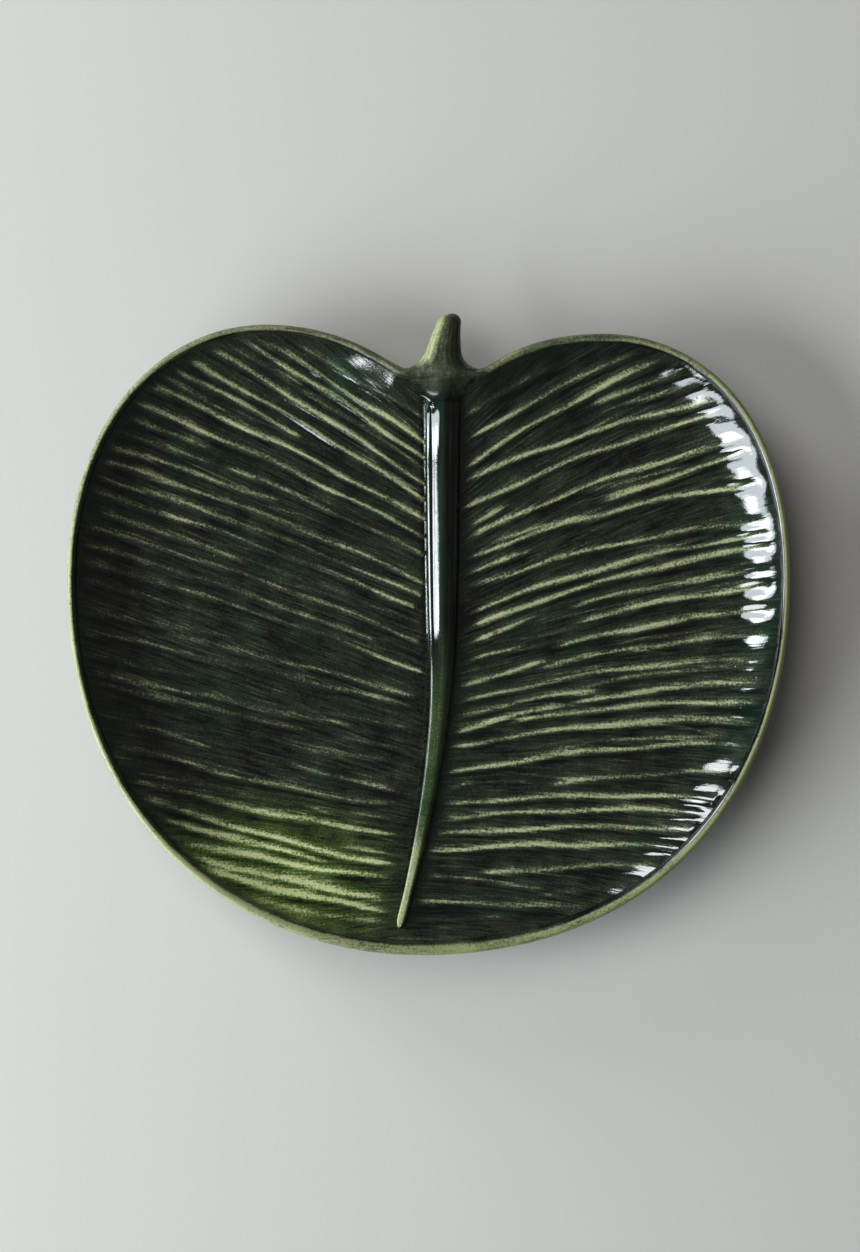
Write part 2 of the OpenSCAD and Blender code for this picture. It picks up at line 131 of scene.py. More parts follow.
# Carved veins: x and y of the start, x and y of the end towards the edge, in millimetres,
# and share of the full height
VEINS = {
    LEFT: (
        (-1, 53.5, -45, 81, 1.0), (-1, 49, -46, 78.5, 0.95), (-1, 46.5, -24.5, 62, 0.4),
        (-2, 60.5, -25, 74, 0.5), (-1, 42, -61.5, 80, 1.0), (-1, 37.5, -67, 76.5, 0.9),
        (-35.5, 69.5, -54, 80.5, 0.4), (-36.5, 56, -66, 71.5, 0.8),
        (-1, 32, -73, 67.5, 1.0), (-55, 61.5, -73, 71.5, 0.45),
        (-1, 27, -78, 63, 0.85), (-61.5, 52, -79, 59, 0.5), (-60.5, 48.5, -82.5, 55, 0.4),
        (-1, 22, -55, 46.5, 0.65), (-43.5, 37.5, -82.5, 50.5, 0.7), (-1, 14.5, -82.5, 46, 0.8),
        (-2, 10.5, -82.5, 41, 0.75), (-3.5, 7.5, -82.5, 36.5, 0.75), (-52, 20.5, -78, 30, 0.9),
        (-2.5, 3, -27, 12.5, 0.4), (-2.5, -2, -88, 28, 0.8), (-16, -1.5, -90.5, 23.5, 0.75),
        (-1, -11, -96, 20, 0.7), (-45, 1, -85, 12.5, 0.45), (-56, -1, -95, 6, 0.55),
        (-3, -17.5, -74, 0.5, 0.75), (-3.5, -20.5, -93.5, 0.5, 0.65), (-61.5, -12.5, -90.5, -6.5, 0.35),
        (-4.5, -26, -35.5, -21, 0.45), (-19.5, -26, -84.5, -12.5, 0.8), (-32.5, -27, -93.5, -13, 0.65),
        (-4.5, -32.5, -24.5, -29, 0.4), (-8, -35.5, -39.5, -31, 0.4), (-59, -32, -85, -24, 0.5),
        (-7, -44.5, -39.5, -35.5, 0.7), (-8, -48, -83, -31.5, 0.85), (-43.5, -46, -77, -39, 0.45),
        (-8, -52, -32.5, -48.5, 0.4), (-8, -56, -78, -41.5, 0.95), (-9, -61.5, -24.5, -59.5, 0.5),
        (-8.5, -65, -70, -48.5, 1.0), (-27, -63.5, -74, -51, 0.85), (-9, -68.5, -66, -58, 0.85),
        (-10.5, -74, -66, -61.5, 0.9), (-10, -77.5, -61.5, -65.5, 1.0), (-10, -80.5, -35.5, -76.5, 0.4),
    ),
    RIGHT: (
        (11, 61, 23, 68.5, 0.5), (13, 55.5, 54, 77, 0.95), (11.5, 47.5, 61.5, 75, 1.0),
        (46, 64, 70.5, 73, 0.8), (55, 64.5, 75.5, 70, 0.8), (11.5, 43.5, 76, 64.5, 1.0),
        (11, 35.5, 80, 61, 0.85), (13, 31.5, 21.5, 36, 0.75), (12.5, 27.5, 81, 52.5, 0.9),
        (42, 39.5, 72, 46.5, 0.4), (19.5, 26.5, 45.5, 33, 0.7), (49.5, 37, 89, 50.5, 0.9),
        (12.5, 22, 84.5, 41, 0.85), (12.5, 17.5, 28, 23, 0.9), (12.5, 13.5, 88.5, 31, 0.7),
        (13, 6.5, 88.5, 27, 0.9), (12.5, 2, 88.5, 23.5, 1.0), (13, -2, 28, 4.5, 0.8),
        (40.5, 8, 89, 17, 0.7), (13, -7, 26.5, -3, 0.6), (43, 4, 91.5, 13, 0.95),
        (36.5, -3.5, 89, 6.5, 0.95), (10, -14.5, 32.5, -7.5, 0.9), (32, -9, 90, -0.5, 0.65),
        (10, -19, 87.5, -7, 0.7), (9.5, -22.5, 47, -15.5, 0.75), (46, -14, 92, -8, 0.5),
        (40.5, -19.5, 93, -13, 0.9), (8.5, -27, 37, -20, 0.95), (24, -24.5, 90.5, -19, 0.95),
        (8, -31.5, 83.5, -24, 1.0), (35, -32, 75.5, -28.5, 0.4), (6, -39, 83.5, -30.5, 0.9),
        (6.5, -43, 12, -41, 0.45), (35, -42, 85.5, -38, 0.65), (5.5, -47.5, 73, -45.5, 0.95),
        (5.5, -51.5, 64, -49, 0.85), (3.5, -56, 65, -54, 0.9), (1, -60.5, 69, -59, 1.0),
        (1, -67.5, 21, -69.5, 0.45), (15.5, -67, 60.5, -64, 0.8), (31, -72.5, 47.5, -70.5, 0.5),
        (-2.5, -75, 37.5, -75.5, 0.8), (-3.5, -79.5, 11.5, -79, 0.35), (-3.5, -82.5, 11.5, -81, 0.3),
    ),
}
# How far a vein of the given length bows up at its middle: low on the leaf, and high on it
VEIN_LIFT_LENGTH = 80 * MM
VEIN_LIFT_Y = {LEFT: (-40 * MM, 0.0), RIGHT: (-75 * MM, -20 * MM)}
VEIN_LIFT = {LEFT: (-1.8 * MM, 1.2 * MM), RIGHT: (0.7 * MM, 2.5 * MM)}
# Over what length a vein starts beside the midrib, and how far from it: low on the leaf, and high on it
VEIN_START_Y = (-45 * MM, 0.0)
VEIN_START = {LEFT: (7 * MM, 1 * MM), RIGHT: (6 * MM, 6 * MM)}
VEIN_LATE = {LEFT: (3 * MM, 0.0), RIGHT: (0.0, 0.0)}
VEIN_END = 5 * MM
# Share of its width with which a vein starts
VEIN_POINT = 0.5
# Share of their height that the veins have beside the midrib, and distance over which they grow to all of it
VEIN_LOW_START = 0.45
VEIN_CLIMB = 28 * MM
# Greatest height, as a share of the full height
VEIN_MOST = 1.1
# Veins that end this near the edge run on up the wall
VEIN_NEAR_EDGE = 21 * MM
VEIN_PAST_END = 12 * MM
# How much wider the veins are far out from the middle, and on the wall
VEIN_SPREAD = 1.3
VEIN_SPREAD_X = 90 * MM
VEIN_WALL_SPREAD = {LEFT: 1.1, RIGHT: 1.4}
WALL_SPREAD_FROM = 14 * MM
# How far a vein wavers to each side, and over what length
VEIN_WAVER = 0.3 * MM
VEIN_WAVER_LENGTH = 34 * MM
# Turn of a vein's waves from one vein to the next
VEIN_TURN = 2.4
# How a vein's width, height and bareness vary along it: amount, share of the turn, and waves
WIDTH_WAVE = (0.15, 1.7, 7)
HEIGHT_WAVE = (0.12, 2.3, 11)
BARE_WAVE = (0.2, 3.1, 1)
BARE_WAVE_RUN = 9 * MM
# Distances from the lip at which the veins and their bare glaze end, and run over which that glaze fades
VEIN_STOP = 0.3 * MM
GLAZE_STOP = 0.4 * MM
GLAZE_FADE = 3.2 * MM
# By place along the leaf, in millimetres: share of their height that the veins keep on the wall,
# and run over which they fade out towards the lip
WALL_Y = (-40, -34, -8, 8)
WALL_SHARE = {LEFT: (0.8, 0.8, 0.8, 0.8), RIGHT: (1.0, 0.2, 0.2, 1.0)}
WALL_FADE = {LEFT: (6.5, 6.5, 6.5, 6.5), RIGHT: (0.5, 0.5, 4.5, 4.5)}
# Distance from the edge at which that share sets in, and run over which wall and floor blend
VEIN_WALL_FROM = 21 * MM
WALL_BLEND = 9 * MM
# Share of a vein's width that is bare of glaze, above and below its crest: wider above, partly painted light
# falling from above
CREST_ABOVE, CREST_BELOW = 0.52, 0.36
# Wider zone of half drained glaze along a vein, and its share
HALO, HALO_SHARE = 2.6, 0.36
# Dark line at a vein's lower foot, partly pooled glaze and partly painted shade: middle and width, as shares
# of the vein's width
POOLED_SHADE_AT, POOLED_SHADE_WIDE = -1.25, 0.5
# Middle, width and share of the full depth of the groove along the midrib
GROOVE = {LEFT: (0.7 * MM, 0.7 * MM, 1.0), RIGHT: (1.4 * MM, 1.3 * MM, 0.35)}
# Share of that depth which is left low on the leaf
GROOVE_LOW = {LEFT: 0.3, RIGHT: 1.0}
# The groove runs out where the lip is nearer to the midrib than this
GROOVE_RUN = 12 * MM
# Heights of the unevenness and of the tool marks on the floor, and where the marks start beside the midrib
PRESSED_HEIGHT = 0.1 * MM
TOOL_MARK_HEIGHT = 0.12 * MM
TOOL_MARK_FROM = 3 * MM
# Carving and marks fade out over the last lines, which meet at the tip
SEAM_LINES = 5

# Height of the midrib across its width: a bead on the left, a flank, the crown, and a crease on the right
RIB_ACROSS = (-1, -0.93, -0.78, -0.72, -0.65, -0.38, -0.2, 0.0, 0.26, 0.36, 0.46, 0.62, 0.86, 1)
RIB_CROWN = (0, 0.3, 0.45, 0.47, 0.47, 0.78, 0.95, 1, 0.92, 0.84, 0.84, 0.72, 0.36, 0)
# Points across it at which the crown is worked out, and how many are softened together
RIB_FINE, RIB_SOFT = 401, 17
# Power of its round section low on the leaf: a crisp edge on the left
RIB_LOW_POWER = {LEFT: 5, RIGHT: 2}
# Share by which it is slimmer towards the tip, and where that ends
RIB_SLIM = 0.2
RIB_SLIM_END = -84 * MM
RIB_SLIM_RUN = 14 * MM
# Height of its sides, and how far its underside is sunk in its bed
RIB_SHOULDER = 0.5 * MM
RIB_SUNK = 0.1 * MM
# Run over which midrib and stem take each other's shape at their joint
JOINT_BLEND = 4 * MM

# How far the stem's root spreads on each side beyond its ends, and its half width in the notch
ROOT_SPREAD = {LEFT: 6.8 * MM, RIGHT: 3.3 * MM}
ROOT_NOTCH_HALF = {LEFT: 11.4 * MM, RIGHT: 10.4 * MM}
ROOT_FILLET = {LEFT: 5.6 * MM, RIGHT: 4.6 * MM}
ROOT_SPREAD_CURVE = 1.6
# Half width of the hump along the stem's root, and where its soft edge lies in it
ROOT_HUMP = 9.5 * MM
HUMP_EDGE, HUMP_BLEND = 0.85, 0.8
# How far the top sinks into the plate along the root's edges, how far the underside does there
# and how much more in the middle, and height above the midrib's bed under which the underside stays
ROOT_SINK = 0.08 * MM
ROOT_SUNK_EDGE = 0.6 * MM
ROOT_SUNK_MIDDLE = 1.2 * MM
ROOT_SUNK_TOP = 6 * MM
# Power of the curve by which the root takes the roundness of the lip's edge
EDGE_CURVE = 6
STEM_LEAN = 2.4 * MM
STEM_END_CURVE = 2.1
# Runs beyond the edge over which the stem turns round, and over which the painted highlight on its left side
# sets in
STEM_FREE_RUN = 6 * MM
STEM_LIT_RUN = 3 * MM
# Distances from the edge, in millimetres, between which the glaze of the stem's root changes
ROOT_GLAZE_OUT = (-8.8, -6, -3, -1, 2, 15)

# Bearings round the lip in degrees, and how thin the glaze lies on its top and by its foot. How pale the top
# is comes partly from glaze rubbed thin and partly from painted light and shade: paler where the lip faces
# the lights, darker where it faces away
LIP_TURN = (0, 30, 60, 90, 120, 150, 180, 210, 235, 262, 300, 330, 360)
LIP_WORN_AND_LIT = (1.15, 1.0, 0.62, 0.56, 0.66, 0.85, 1.0, 1.05, 1.0, 0.76, 0.8, 0.95, 1.15)
LIP_POOLED = (0.1, 0.1, 0.15, 0.3, 0.25, 0.25, 0.35, 0.4, 0.5, 0.4, 0.2, 0.1, 0.1)
# How far in from its crest the lip's top stays pale, and how brown it is there
LIP_REACH = (0.2, 0.25, 0.6, 0.5, 0.3, 0.15, 0.12, 0.25, 0.45, 0.5, 0.45, 0.35, 0.2)
LIP_BROWN = (0.9, 0.9, 0.9, 0.9, 0.8, 0.5, 0.3, 0.3, 0.4, 0.75, 0.9, 0.9, 0.9)
LIP_WORN_BLEND = 0.22
# Place of the lip's crest, as a share of its width, and how far the crest sags here and there
LIP_CREST = 0.4
LIP_SAG = 0.12 * MM

# Patches of glaze on the blade in millimetres: middle, and reach across and along. The green patch low on
# the left is brighter green glaze with painted sunlight on it
SUNLIT_LEAFY_PATCH = ((-48, -71), (42, 26))
# The patch in the left middle greys the crests with a painted reflection
REFLECTION_VEIL_PATCH = ((-48, 4), (36, 34))
NOTCH_PATCH = ((-20, 71), (15, 8))
SUNLIT_LEAFY_EDGE = 1.25
# Middle and reach of the greenest part of the wall along the leaf, in millimetres
GREEN_Y, GREEN_REACH = 12, 36
# Distance from the edge within which all is wall, and the runs over which the floor's marks set in
# and the wall's glaze fades out
WALL_FROM = 4 * MM
FLOOR_BLEND = 10 * MM
WALL_GLAZE = 14 * MM
# Brown band along the lip by the tip: place along the edge where it starts, and width
TIP_BAND_PLACE, TIP_BAND_BLEND = 2.45, 0.3
TIP_BAND_WIDTH = 4 * MM


class WallTone(NamedTuple):
    """Glaze on the wall of one side: how it covers crests, pools, turns green and runs in rills."""

    covered: float
    pooled: float
    green: float
    rills: float


WALL_TONES = {LEFT: WallTone(0.3, -0.03, 0.0, 0.3), RIGHT: WallTone(0.5, 0.06, 0.6, 0.9)}


class GlazeLook(NamedTuple):
    """A piece's glaze: streaks to the metre, dullness half drained and drained, grain, clouds, and IOR."""

    streaks: tuple
    dull: tuple
    sandy: float
    cloudy: float
    gloss: float


BLADE_LOOK = GlazeLook((1100.0, 55.0, 1.0), (0.05, 0.24), 1.5, 1.0, 1.7)
LIP_LOOK = GlazeLook((700.0, 60.0, 1.0), (0.42, 0.04), 1.4, 1.0, 1.7)
RIB_LOOK = GlazeLook((900.0, 30.0, 1.0), (0.4, 0.06), 0.9, 0.6, 1.7)
STEM_LOOK = RIB_LOOK._replace(gloss=1.5)
# Scale of the flow that streaks follow: from row to row of the lip, over half the midrib, and on the stem
LIP_FLOW = 0.3 * MM
RIB_FLOW = 5 * MM
STEM_FLOW = (0.35, 4.0)

# Columns of the blade's mesh up to the root, the lobe, the midrib's end and the tip, and its rows
BLADE_COLUMNS = (18, 56, 400, 46)
FIELD_ROWS = 56
# Shares of the rows after which the close rows by the midrib end and those by the lip start,
# how far these reach, and the most that they take of a short run
FIELD_ROW_ENDS = (0.12, 0.70)
FIELD_INNER, FIELD_OUTER = 4 * MM, 14 * MM
FIELD_INNER_MOST, FIELD_OUTER_MOST = 0.25, 0.45
UNDER_ROWS = 9
UNDER_ROW_CURVE = 1.5
UNDER_GLAZE = {"thin": 0.4, "bottle": 0.2, "leafy": 0.0, "brown": 0.5, "rills": 0.0}
FLOW_SPAN = 200 * MM
BASE_SHARES = (0.35, 0.7, 1.0)
BED_COLUMNS = 6
# Columns of the other meshes: each side of the lip and half the notch; the midrib and its end;
# the stem's root, its length and its end. Rows of the midrib's top, round the stem and over the lip
LIP_COLUMNS, NOTCH_COLUMNS = 361, 12
RIB_COLUMNS = (180, 14)
STEM_COLUMNS = (36, 34, 14)
RIB_ROWS = 49
STEM_ROWS = 97
LIP_OUTER_ROWS, LIP_INNER_ROWS = 8, 11
# Points along each side's edge and across the notch, for distances from the edge
EDGE_SAMPLES, NOTCH_SAMPLES = 1800, 100
# Foot ring: width, rounding of its lower edges, and steps round it
FOOT_WIDTH = 8 * MM
FOOT_ROUND = 1.2 * MM
FOOT_ROUND_STEPS = 6
FOOT_STEPS = 160
WELD = 0.01 * MM
# Edges that turn by more than this stay crisp
FOLD = math.radians(55)

# Photograph's frame, and the plate in it
FRAME_PX = (860, 1252)
PLATE_MIDDLE_PX = (428.5, 634.5)
PX_PER_METRE = 3625
# Width of the camera's sensor, in millimetres
SENSOR = 36
# Half the floor's width and distance of the lights, in metres
FLOOR_HALF = 2.0
LIGHT_DISTANCE = 1.3


class Softbox(NamedTuple):
    """A soft light: bearing and climb in degrees, size in metres, colour, and whether it is mirrored."""

    bearing: float
    climb: float
    size: tuple
    colour: tuple
    mirrored: bool


SOFTBOXES = {
    "window": Softbox(189, 27, (0.64, 0.34), (1.0, 1.0, 1.0), True),
    "curtain": Softbox(204, 24.5, (1.34, 0.7), (0.85, 0.94, 1.0), True),
    "lamp": Softbox(139, 17, (0.44, 0.54), (0.92, 0.97, 1.0), True),
    "strip": Softbox(237.4, 4, (0.08, 0.26), (0.9, 0.96, 1.0), True),
    "fill": Softbox(140, 60, (1.0, 1.0), (1.0, 1.0, 1.0), False),
}


def linear(red, green, blue):
    """A colour given in the 0 to 255 steps of a screen, as linear light."""
    return tuple(
        step / 255 / 12.92 if step <= 10 else ((step / 255 + 0.055) / 1.055) ** 2.4
        for step in (red, green, blue)
    )


def mix(a, b, t):
    """The value that lies at share t of the way from a to b."""
    return a + (b - a) * t


def clamp01(t):
    """The value kept between 0 and 1."""
    return np.clip(t, 0.0, 1.0)


def smooth(t):
    """A soft step from 0 to 1."""
    c = clamp01(t)
    return c * c * (3 - 2 * c)


def below(y, step):
    """A soft step down the leaf: from 0 above its start to 1 at the end of its run."""
    start, run = step
    return smooth((start - y) / run)


def bell(t):
    """A round hump: 1 at 0, falling to both sides."""
    return np.exp(-(t**2))


def length_prop(name, default, description):
    """A length that a user may change."""
    return bpy.props.FloatProperty(
        name=name, description=description, default=default, unit="LENGTH", precision=4
    )


def colour_prop(name, default, description):
    """A colour that a user may change."""
    return bpy.props.FloatVectorProperty(
        name=name, description=description, default=default, subtype="COLOR", size=3, min=0.0, max=1.0
    )


def power_prop(name, default, description):
    """The power of a light that a user may change."""
    return bpy.props.FloatProperty(
        name=name, description=description, default=default, unit="POWER", min=0.0
    )


class LEAFPLATE_PG_size(bpy.types.PropertyGroup):
    """Sizes of the plate. The main ones come from the frame."""

    leaf_width: length_prop("Leaf width", 2 * min(CAD_BOX[1].x, -CAD_BOX[0].x), "Width over the two sides")
    leaf_length: length_prop(
        "Leaf length", CAD_BOX[1].y - CAD_BOX[0].y, "Length from the tip to the stem's end"
    )
    rim_height: length_prop("Rim height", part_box("rim_bead")[1].z, "Height of the lip above the table")
    crown_height: length_prop(
        "Stem height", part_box("stem")[1].z, "Height of the stem's crown above the table"
    )
    foot_height: length_prop("Foot height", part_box("foot_ring")[1].z, "Height of the foot ring")
    lip_width: length_prop("Lip width", 2.6 * MM, "Width of the lip")
    lip_tip_width: length_prop("Lip width at the tip", 4 * MM, "Width of the lip at the leaf's tip")
    midrib_width: length_prop("Midrib width", 9.8 * MM, "Width of the midrib at the stem")
    midrib_tip_width: length_prop("Midrib tip width", 3 * MM, "Width of the midrib before its tip")
    midrib_height: length_prop("Midrib height", 3.4 * MM, "Height of the midrib above the floor")
    midrib_tip_height: length_prop("Midrib tip height", 1.8 * MM, "Height of the midrib before its tip")
    stem_width: length_prop("Stem width", 11.6 * MM, "Width of the stem at the edge")
    stem_end_width: length_prop("Stem end width", 7 * MM, "Width of the stem where its round end begins")
    vein_height: length_prop("Vein height", 0.9 * MM, "Height of a full vein's crest")
    vein_width: length_prop("Vein width", 1.05 * MM, "Half width of a vein's crest")
    groove_depth: length_prop("Groove depth", 0.5 * MM, "Depth of the groove along the midrib")


class LEAFPLATE_PG_glaze(bpy.types.PropertyGroup):
    """Colours of the glaze, from where it pools to where it drains off, and of the bare clay."""

    pool: colour_prop("Pool", linear(8, 9, 8), "Glaze that has pooled on the floor")
    olive: colour_prop("Olive", linear(54, 57, 44), "Glaze of middling depth")
    khaki: colour_prop("Khaki", linear(174, 179, 134), "Glaze that has drained off a crest")
    brown: colour_prop("Brown", linear(138, 146, 90), "Glaze that has drained off the lip and the stem")
    bottle_pool: colour_prop("Bottle pool", linear(9, 28, 19), "Glaze that has pooled on the wall")
    bottle_green: colour_prop("Bottle green", linear(37, 58, 41), "Glaze of middling depth on the wall")
    bottle_crest: colour_prop(
        "Bottle crest", linear(128, 148, 106), "Glaze that has drained off a crest on the wall"
    )
    # Colours low on the left: the glaze's own brighter green, with painted sunlight on that part
    sunlit_leafy_pool: colour_prop("Leafy pool", linear(14, 17, 9), "Glaze that has pooled low on the left")
    sunlit_leafy_green: colour_prop("Leafy green", linear(80, 106, 42), "Glaze of middling depth low on the left")
    sunlit_leafy_crest: colour_prop(
        "Leafy crest", linear(226, 238, 170), "Glaze that has drained off a crest low on the left"
    )
    speck: colour_prop("Speck", linear(38, 34, 24), "Iron specks and pinholes")
    clay: colour_prop("Clay", linear(186, 170, 144), "Bare clay of the foot")


class LEAFPLATE_PG_stage(bpy.types.PropertyGroup):
    """Light, floor and camera."""

    floor: colour_prop("Floor", linear(208, 206, 200), "Colour of the floor")
    sky: bpy.props.FloatProperty(
        name="Sky", description="Strength of the even light", default=0.07, min=0.0, subtype="FACTOR"
    )
    window: power_prop("Window", 3.8, "Power of the bright low light on the left")
    curtain: power_prop("Curtain", 21.0, "Power of the broad, cooler light round the window")
    lamp: power_prop("Lamp", 6.7, "Power of the small light at the upper left")
    strip: power_prop("Strip", 0.9, "Power of the narrow light low in front")
    fill: power_prop("Fill", 5.4, "Power of the light from above, which leaves no highlights")
    lens: bpy.props.FloatProperty(name="Lens", description="Focal length", default=85.0, unit="CAMERA")


class LeafShape:
    """Curves and heights of the leaf, worked out from the sizes in the panel."""

    def __init__(self, size):
        self.size = size
        self.tip = np.array([TIP_X, -size.leaf_length / 2])
        self.notch_y = self.tip[1] + NOTCH_FROM_TIP
        self.joint_y = self.notch_y - JOINT_FROM_NOTCH
        self.seat_y = self.notch_y - size.lip_width
        self.stem_reach = size.leaf_length / 2 - self.notch_y
        self.midrib_end_y = self.tip[1] + MIDRIB_END_FROM_TIP
        self.midrib_round = 1.2 * size.midrib_tip_width
        self.vein_end_y = self.midrib_end_y + self.midrib_round
        self.sweep_y = self.tip[1] + SWEEP_FROM_TIP
        self.root_width = size.stem_width + 2 * STEM_FILLET
        self.floor_z = size.foot_height + FLOOR_T
        self.lip_foot_z = size.rim_height - LIP_H
        self.crease_z = size.rim_height - LIP_DROP
        self.wall_rise = (self.crease_z - self.floor_z) / (1 - size.lip_width / WALL_RUN) ** WALL_CURVE
        self.curves = {hand: np.array(self.side_curves(hand)) for hand in SIDES}
        self.edge_tree = self.edge_samples()

    def side_curves(self, hand):
        """Control points of one side's three curves: to the lobe, to the widest line, to the tip."""
        side = SIDES[hand]
        across = np.array([hand, 0.0])
        up = np.array([0.0, 1.0])
        notch = np.array([STEM_X + hand * self.root_width / 2, self.notch_y])
        lobe = np.array([hand * side.lobe_x, self.tip[1] + side.lobe_from_tip])
        widest = np.array([hand * self.size.leaf_width / 2, self.tip[1] + WIDEST_FROM_TIP])
        return (
            (notch, notch + NOTCH_TURN * across, lobe - LOBE_SHOULDER * across, lobe),
            (lobe, lobe + side.lobe_bulge * across, widest + side.side_rise * up, widest),
            (widest, widest - side.side_fall * up, self.tip + side.tip_bulge * across, self.tip),
        )

    def edge(self, hand, place):
        """Points of the edge and their inward directions, at places from 0 in the notch to 3 at the tip."""
        part = np.clip(np.floor(place), 0, 2).astype(int)
        t = (place - part)[:, None]
        s = 1 - t
        c = self.curves[hand][part]
        point = s**3 * c[:, 0] + 3 * t * s * s * c[:, 1] + 3 * t * t * s * c[:, 2] + t**3 * c[:, 3]
        run = s * s * (c[:, 1] - c[:, 0]) + 2 * t * s * (c[:, 2] - c[:, 1]) + t * t * (c[:, 3] - c[:, 2])
        run /= np.linalg.norm(run, axis=1)[:, None]
        return point, hand * np.stack([run[:, 1], -run[:, 0]], axis=1)

    def edge_samples(self):
        """Close points along the whole edge, for distances from it."""
        places = np.linspace(0, 3, EDGE_SAMPLES)
        across = np.linspace(0, 1, NOTCH_SAMPLES)[:, None]
        notch_line = mix(self.curves[LEFT][0, 0], self.curves[RIGHT][0, 0], across)
        points = np.concatenate([self.edge(LEFT, places)[0], self.edge(RIGHT, places)[0], notch_line])
        tree = kdtree.KDTree(len(points))
        for index, (x, y) in enumerate(points):
            tree.insert((x, y, 0.0), index)
        tree.balance()
        return tree

    def from_edge(self, points):
        """Distance of each point from the edge, in plan."""
        return np.array([self.edge_tree.find((x, y, 0.0))[2] for x, y in points])

    def lip_width(self, place):
        """Width of the lip, which swells towards the tip."""
        swell = smooth((place - LIP_SWELL_PLACE) / (3 - LIP_SWELL_PLACE))
        return mix(self.size.lip_width, self.size.lip_tip_width, swell)

    def well_z(self, inset):
        """Height of the well at a distance from the edge."""
        return self.floor_z + self.wall_rise * clamp01(1 - inset / WALL_RUN) ** WALL_CURVE

    def under_z(self, inset):
        """Height of the underside at a distance from the edge."""
        foot = self.size.foot_height
        return foot + (self.lip_foot_z - foot) * clamp01(1 - inset / UNDER_RUN) ** UNDER_CURVE

    def line_place(self, hand, line):
        """Where a line meets the edge."""
        share = clamp01((line - LOBE_LINE) / (END_LINE - LOBE_LINE))
        fan = mix(1, LAST_VEIN_PLACE, share**VEIN_FAN) - LINE_CLIMB[hand] * share**3 * (1 - share)
        last = clamp01((line - END_LINE) / (LAST_LINE - END_LINE))
        return np.where(line <= LOBE_LINE, line / LOBE_LINE, mix(fan, 3, last))

    def line_y(self, line):
        """Where a line starts along the midrib."""
        end = clamp01((line - END_LINE) / (LAST_LINE - END_LINE))
        joint = mix(self.seat_y, self.joint_y, line / ROOT_LINE)
        ribbed = mix(self.joint_y, self.vein_end_y, clamp01((line - ROOT_LINE) / (END_LINE - ROOT_LINE)))
        return np.where(line <= ROOT_LINE, joint, ribbed - self.midrib_round * np.sin(math.pi / 2 * end))

    def rib_x(self, y):
        """Middle of the midrib, which swings left towards the tip."""
        swing = clamp01((self.sweep_y - y) / (self.sweep_y - self.midrib_end_y))
        return STEM_X - MIDRIB_SWEEP * swing**SWEEP_CURVE

    def rib_taper(self, y):
        """How far the midrib has thinned: 0 at the stem, 1 before its tip."""
        return clamp01((self.joint_y - y) / (self.joint_y - self.vein_end_y)) ** TAPER_CURVE

    def rib_rounding(self, line):
        """Share of its width and height that the midrib keeps in its round end."""
        return np.cos(math.pi / 2 * clamp01((line - END_LINE) / (LAST_LINE - END_LINE)))

    def rib_half(self, line):
        """Half the width of the midrib, and of the stem's root above it."""
        size = self.size
        root = mix(self.root_width, size.midrib_width, np.sin(math.pi / 2 * clamp01(line / ROOT_LINE)))
        ribbed = mix(size.midrib_width, size.midrib_tip_width, self.rib_taper(self.line_y(line)))
        return np.where(line <= ROOT_LINE, root, ribbed * self.rib_rounding(line)) / 2

    def rib_side(self, hand, line):
        """Point where a line leaves the midrib's side."""
        y = self.line_y(line)
        return np.stack([self.rib_x(y) + hand * self.rib_half(line), y], axis=1)

    def drape_top(self, points, edge_share):
        """Height of the lip and the well together, with so much of the lip's outer roundness."""
        inset = self.from_edge(points)
        width = self.size.lip_width
        rim = self.size.rim_height
        across = np.clip(2 * inset / width - 1, -1, 1)
        outer = rim - edge_share * LIP_ROUND * smooth(-across)
        lip = np.where(across < 0, outer, mix(self.crease_z, rim, np.sqrt(1 - across**2)))
        return np.where(inset < width, lip, self.well_z(inset))

    def bed_z(self, line):
        """Height of the midrib's bed."""
        y = self.line_y(line)
        return self.well_z(self.from_edge(np.stack([self.rib_x(y), y], axis=1)))


class Vein(NamedTuple):
    """One carved vein: start, directions, length, bow, share of the height, run up the wall and own turn."""

    start: np.ndarray
    along: np.ndarray
    up: np.ndarray
    length: float
    bow: float
    share: float
    past: float
    phase: float


def veins_of(leaf, hand):
    """The veins of one side."""
    veins = []
    for index, (x0, y0, x1, y1, share) in enumerate(VEINS[hand]):
        start = np.array([x0, y0]) * MM
        end = np.array([x1, y1]) * MM
        length = np.linalg.norm(end - start)
        along = (end - start) / length
        up = np.array([-along[1], along[0]]) * hand
        lift = np.interp((start[1] + end[1]) / 2, VEIN_LIFT_Y[hand], VEIN_LIFT[hand])
        bow = lift * (length / VEIN_LIFT_LENGTH) ** 2
        past = VEIN_PAST_END if leaf.from_edge([end])[0] < VEIN_NEAR_EDGE else 0.0
        veins.append(Vein(start, along, up, length, bow, share, past, VEIN_TURN * index))
    return veins


def uneven(vein, along, amount, turn, waves):
    """A share near 1 that varies along a vein, and differs from vein to vein."""
    return 1 + amount * np.sin(vein.phase * turn + along * waves)


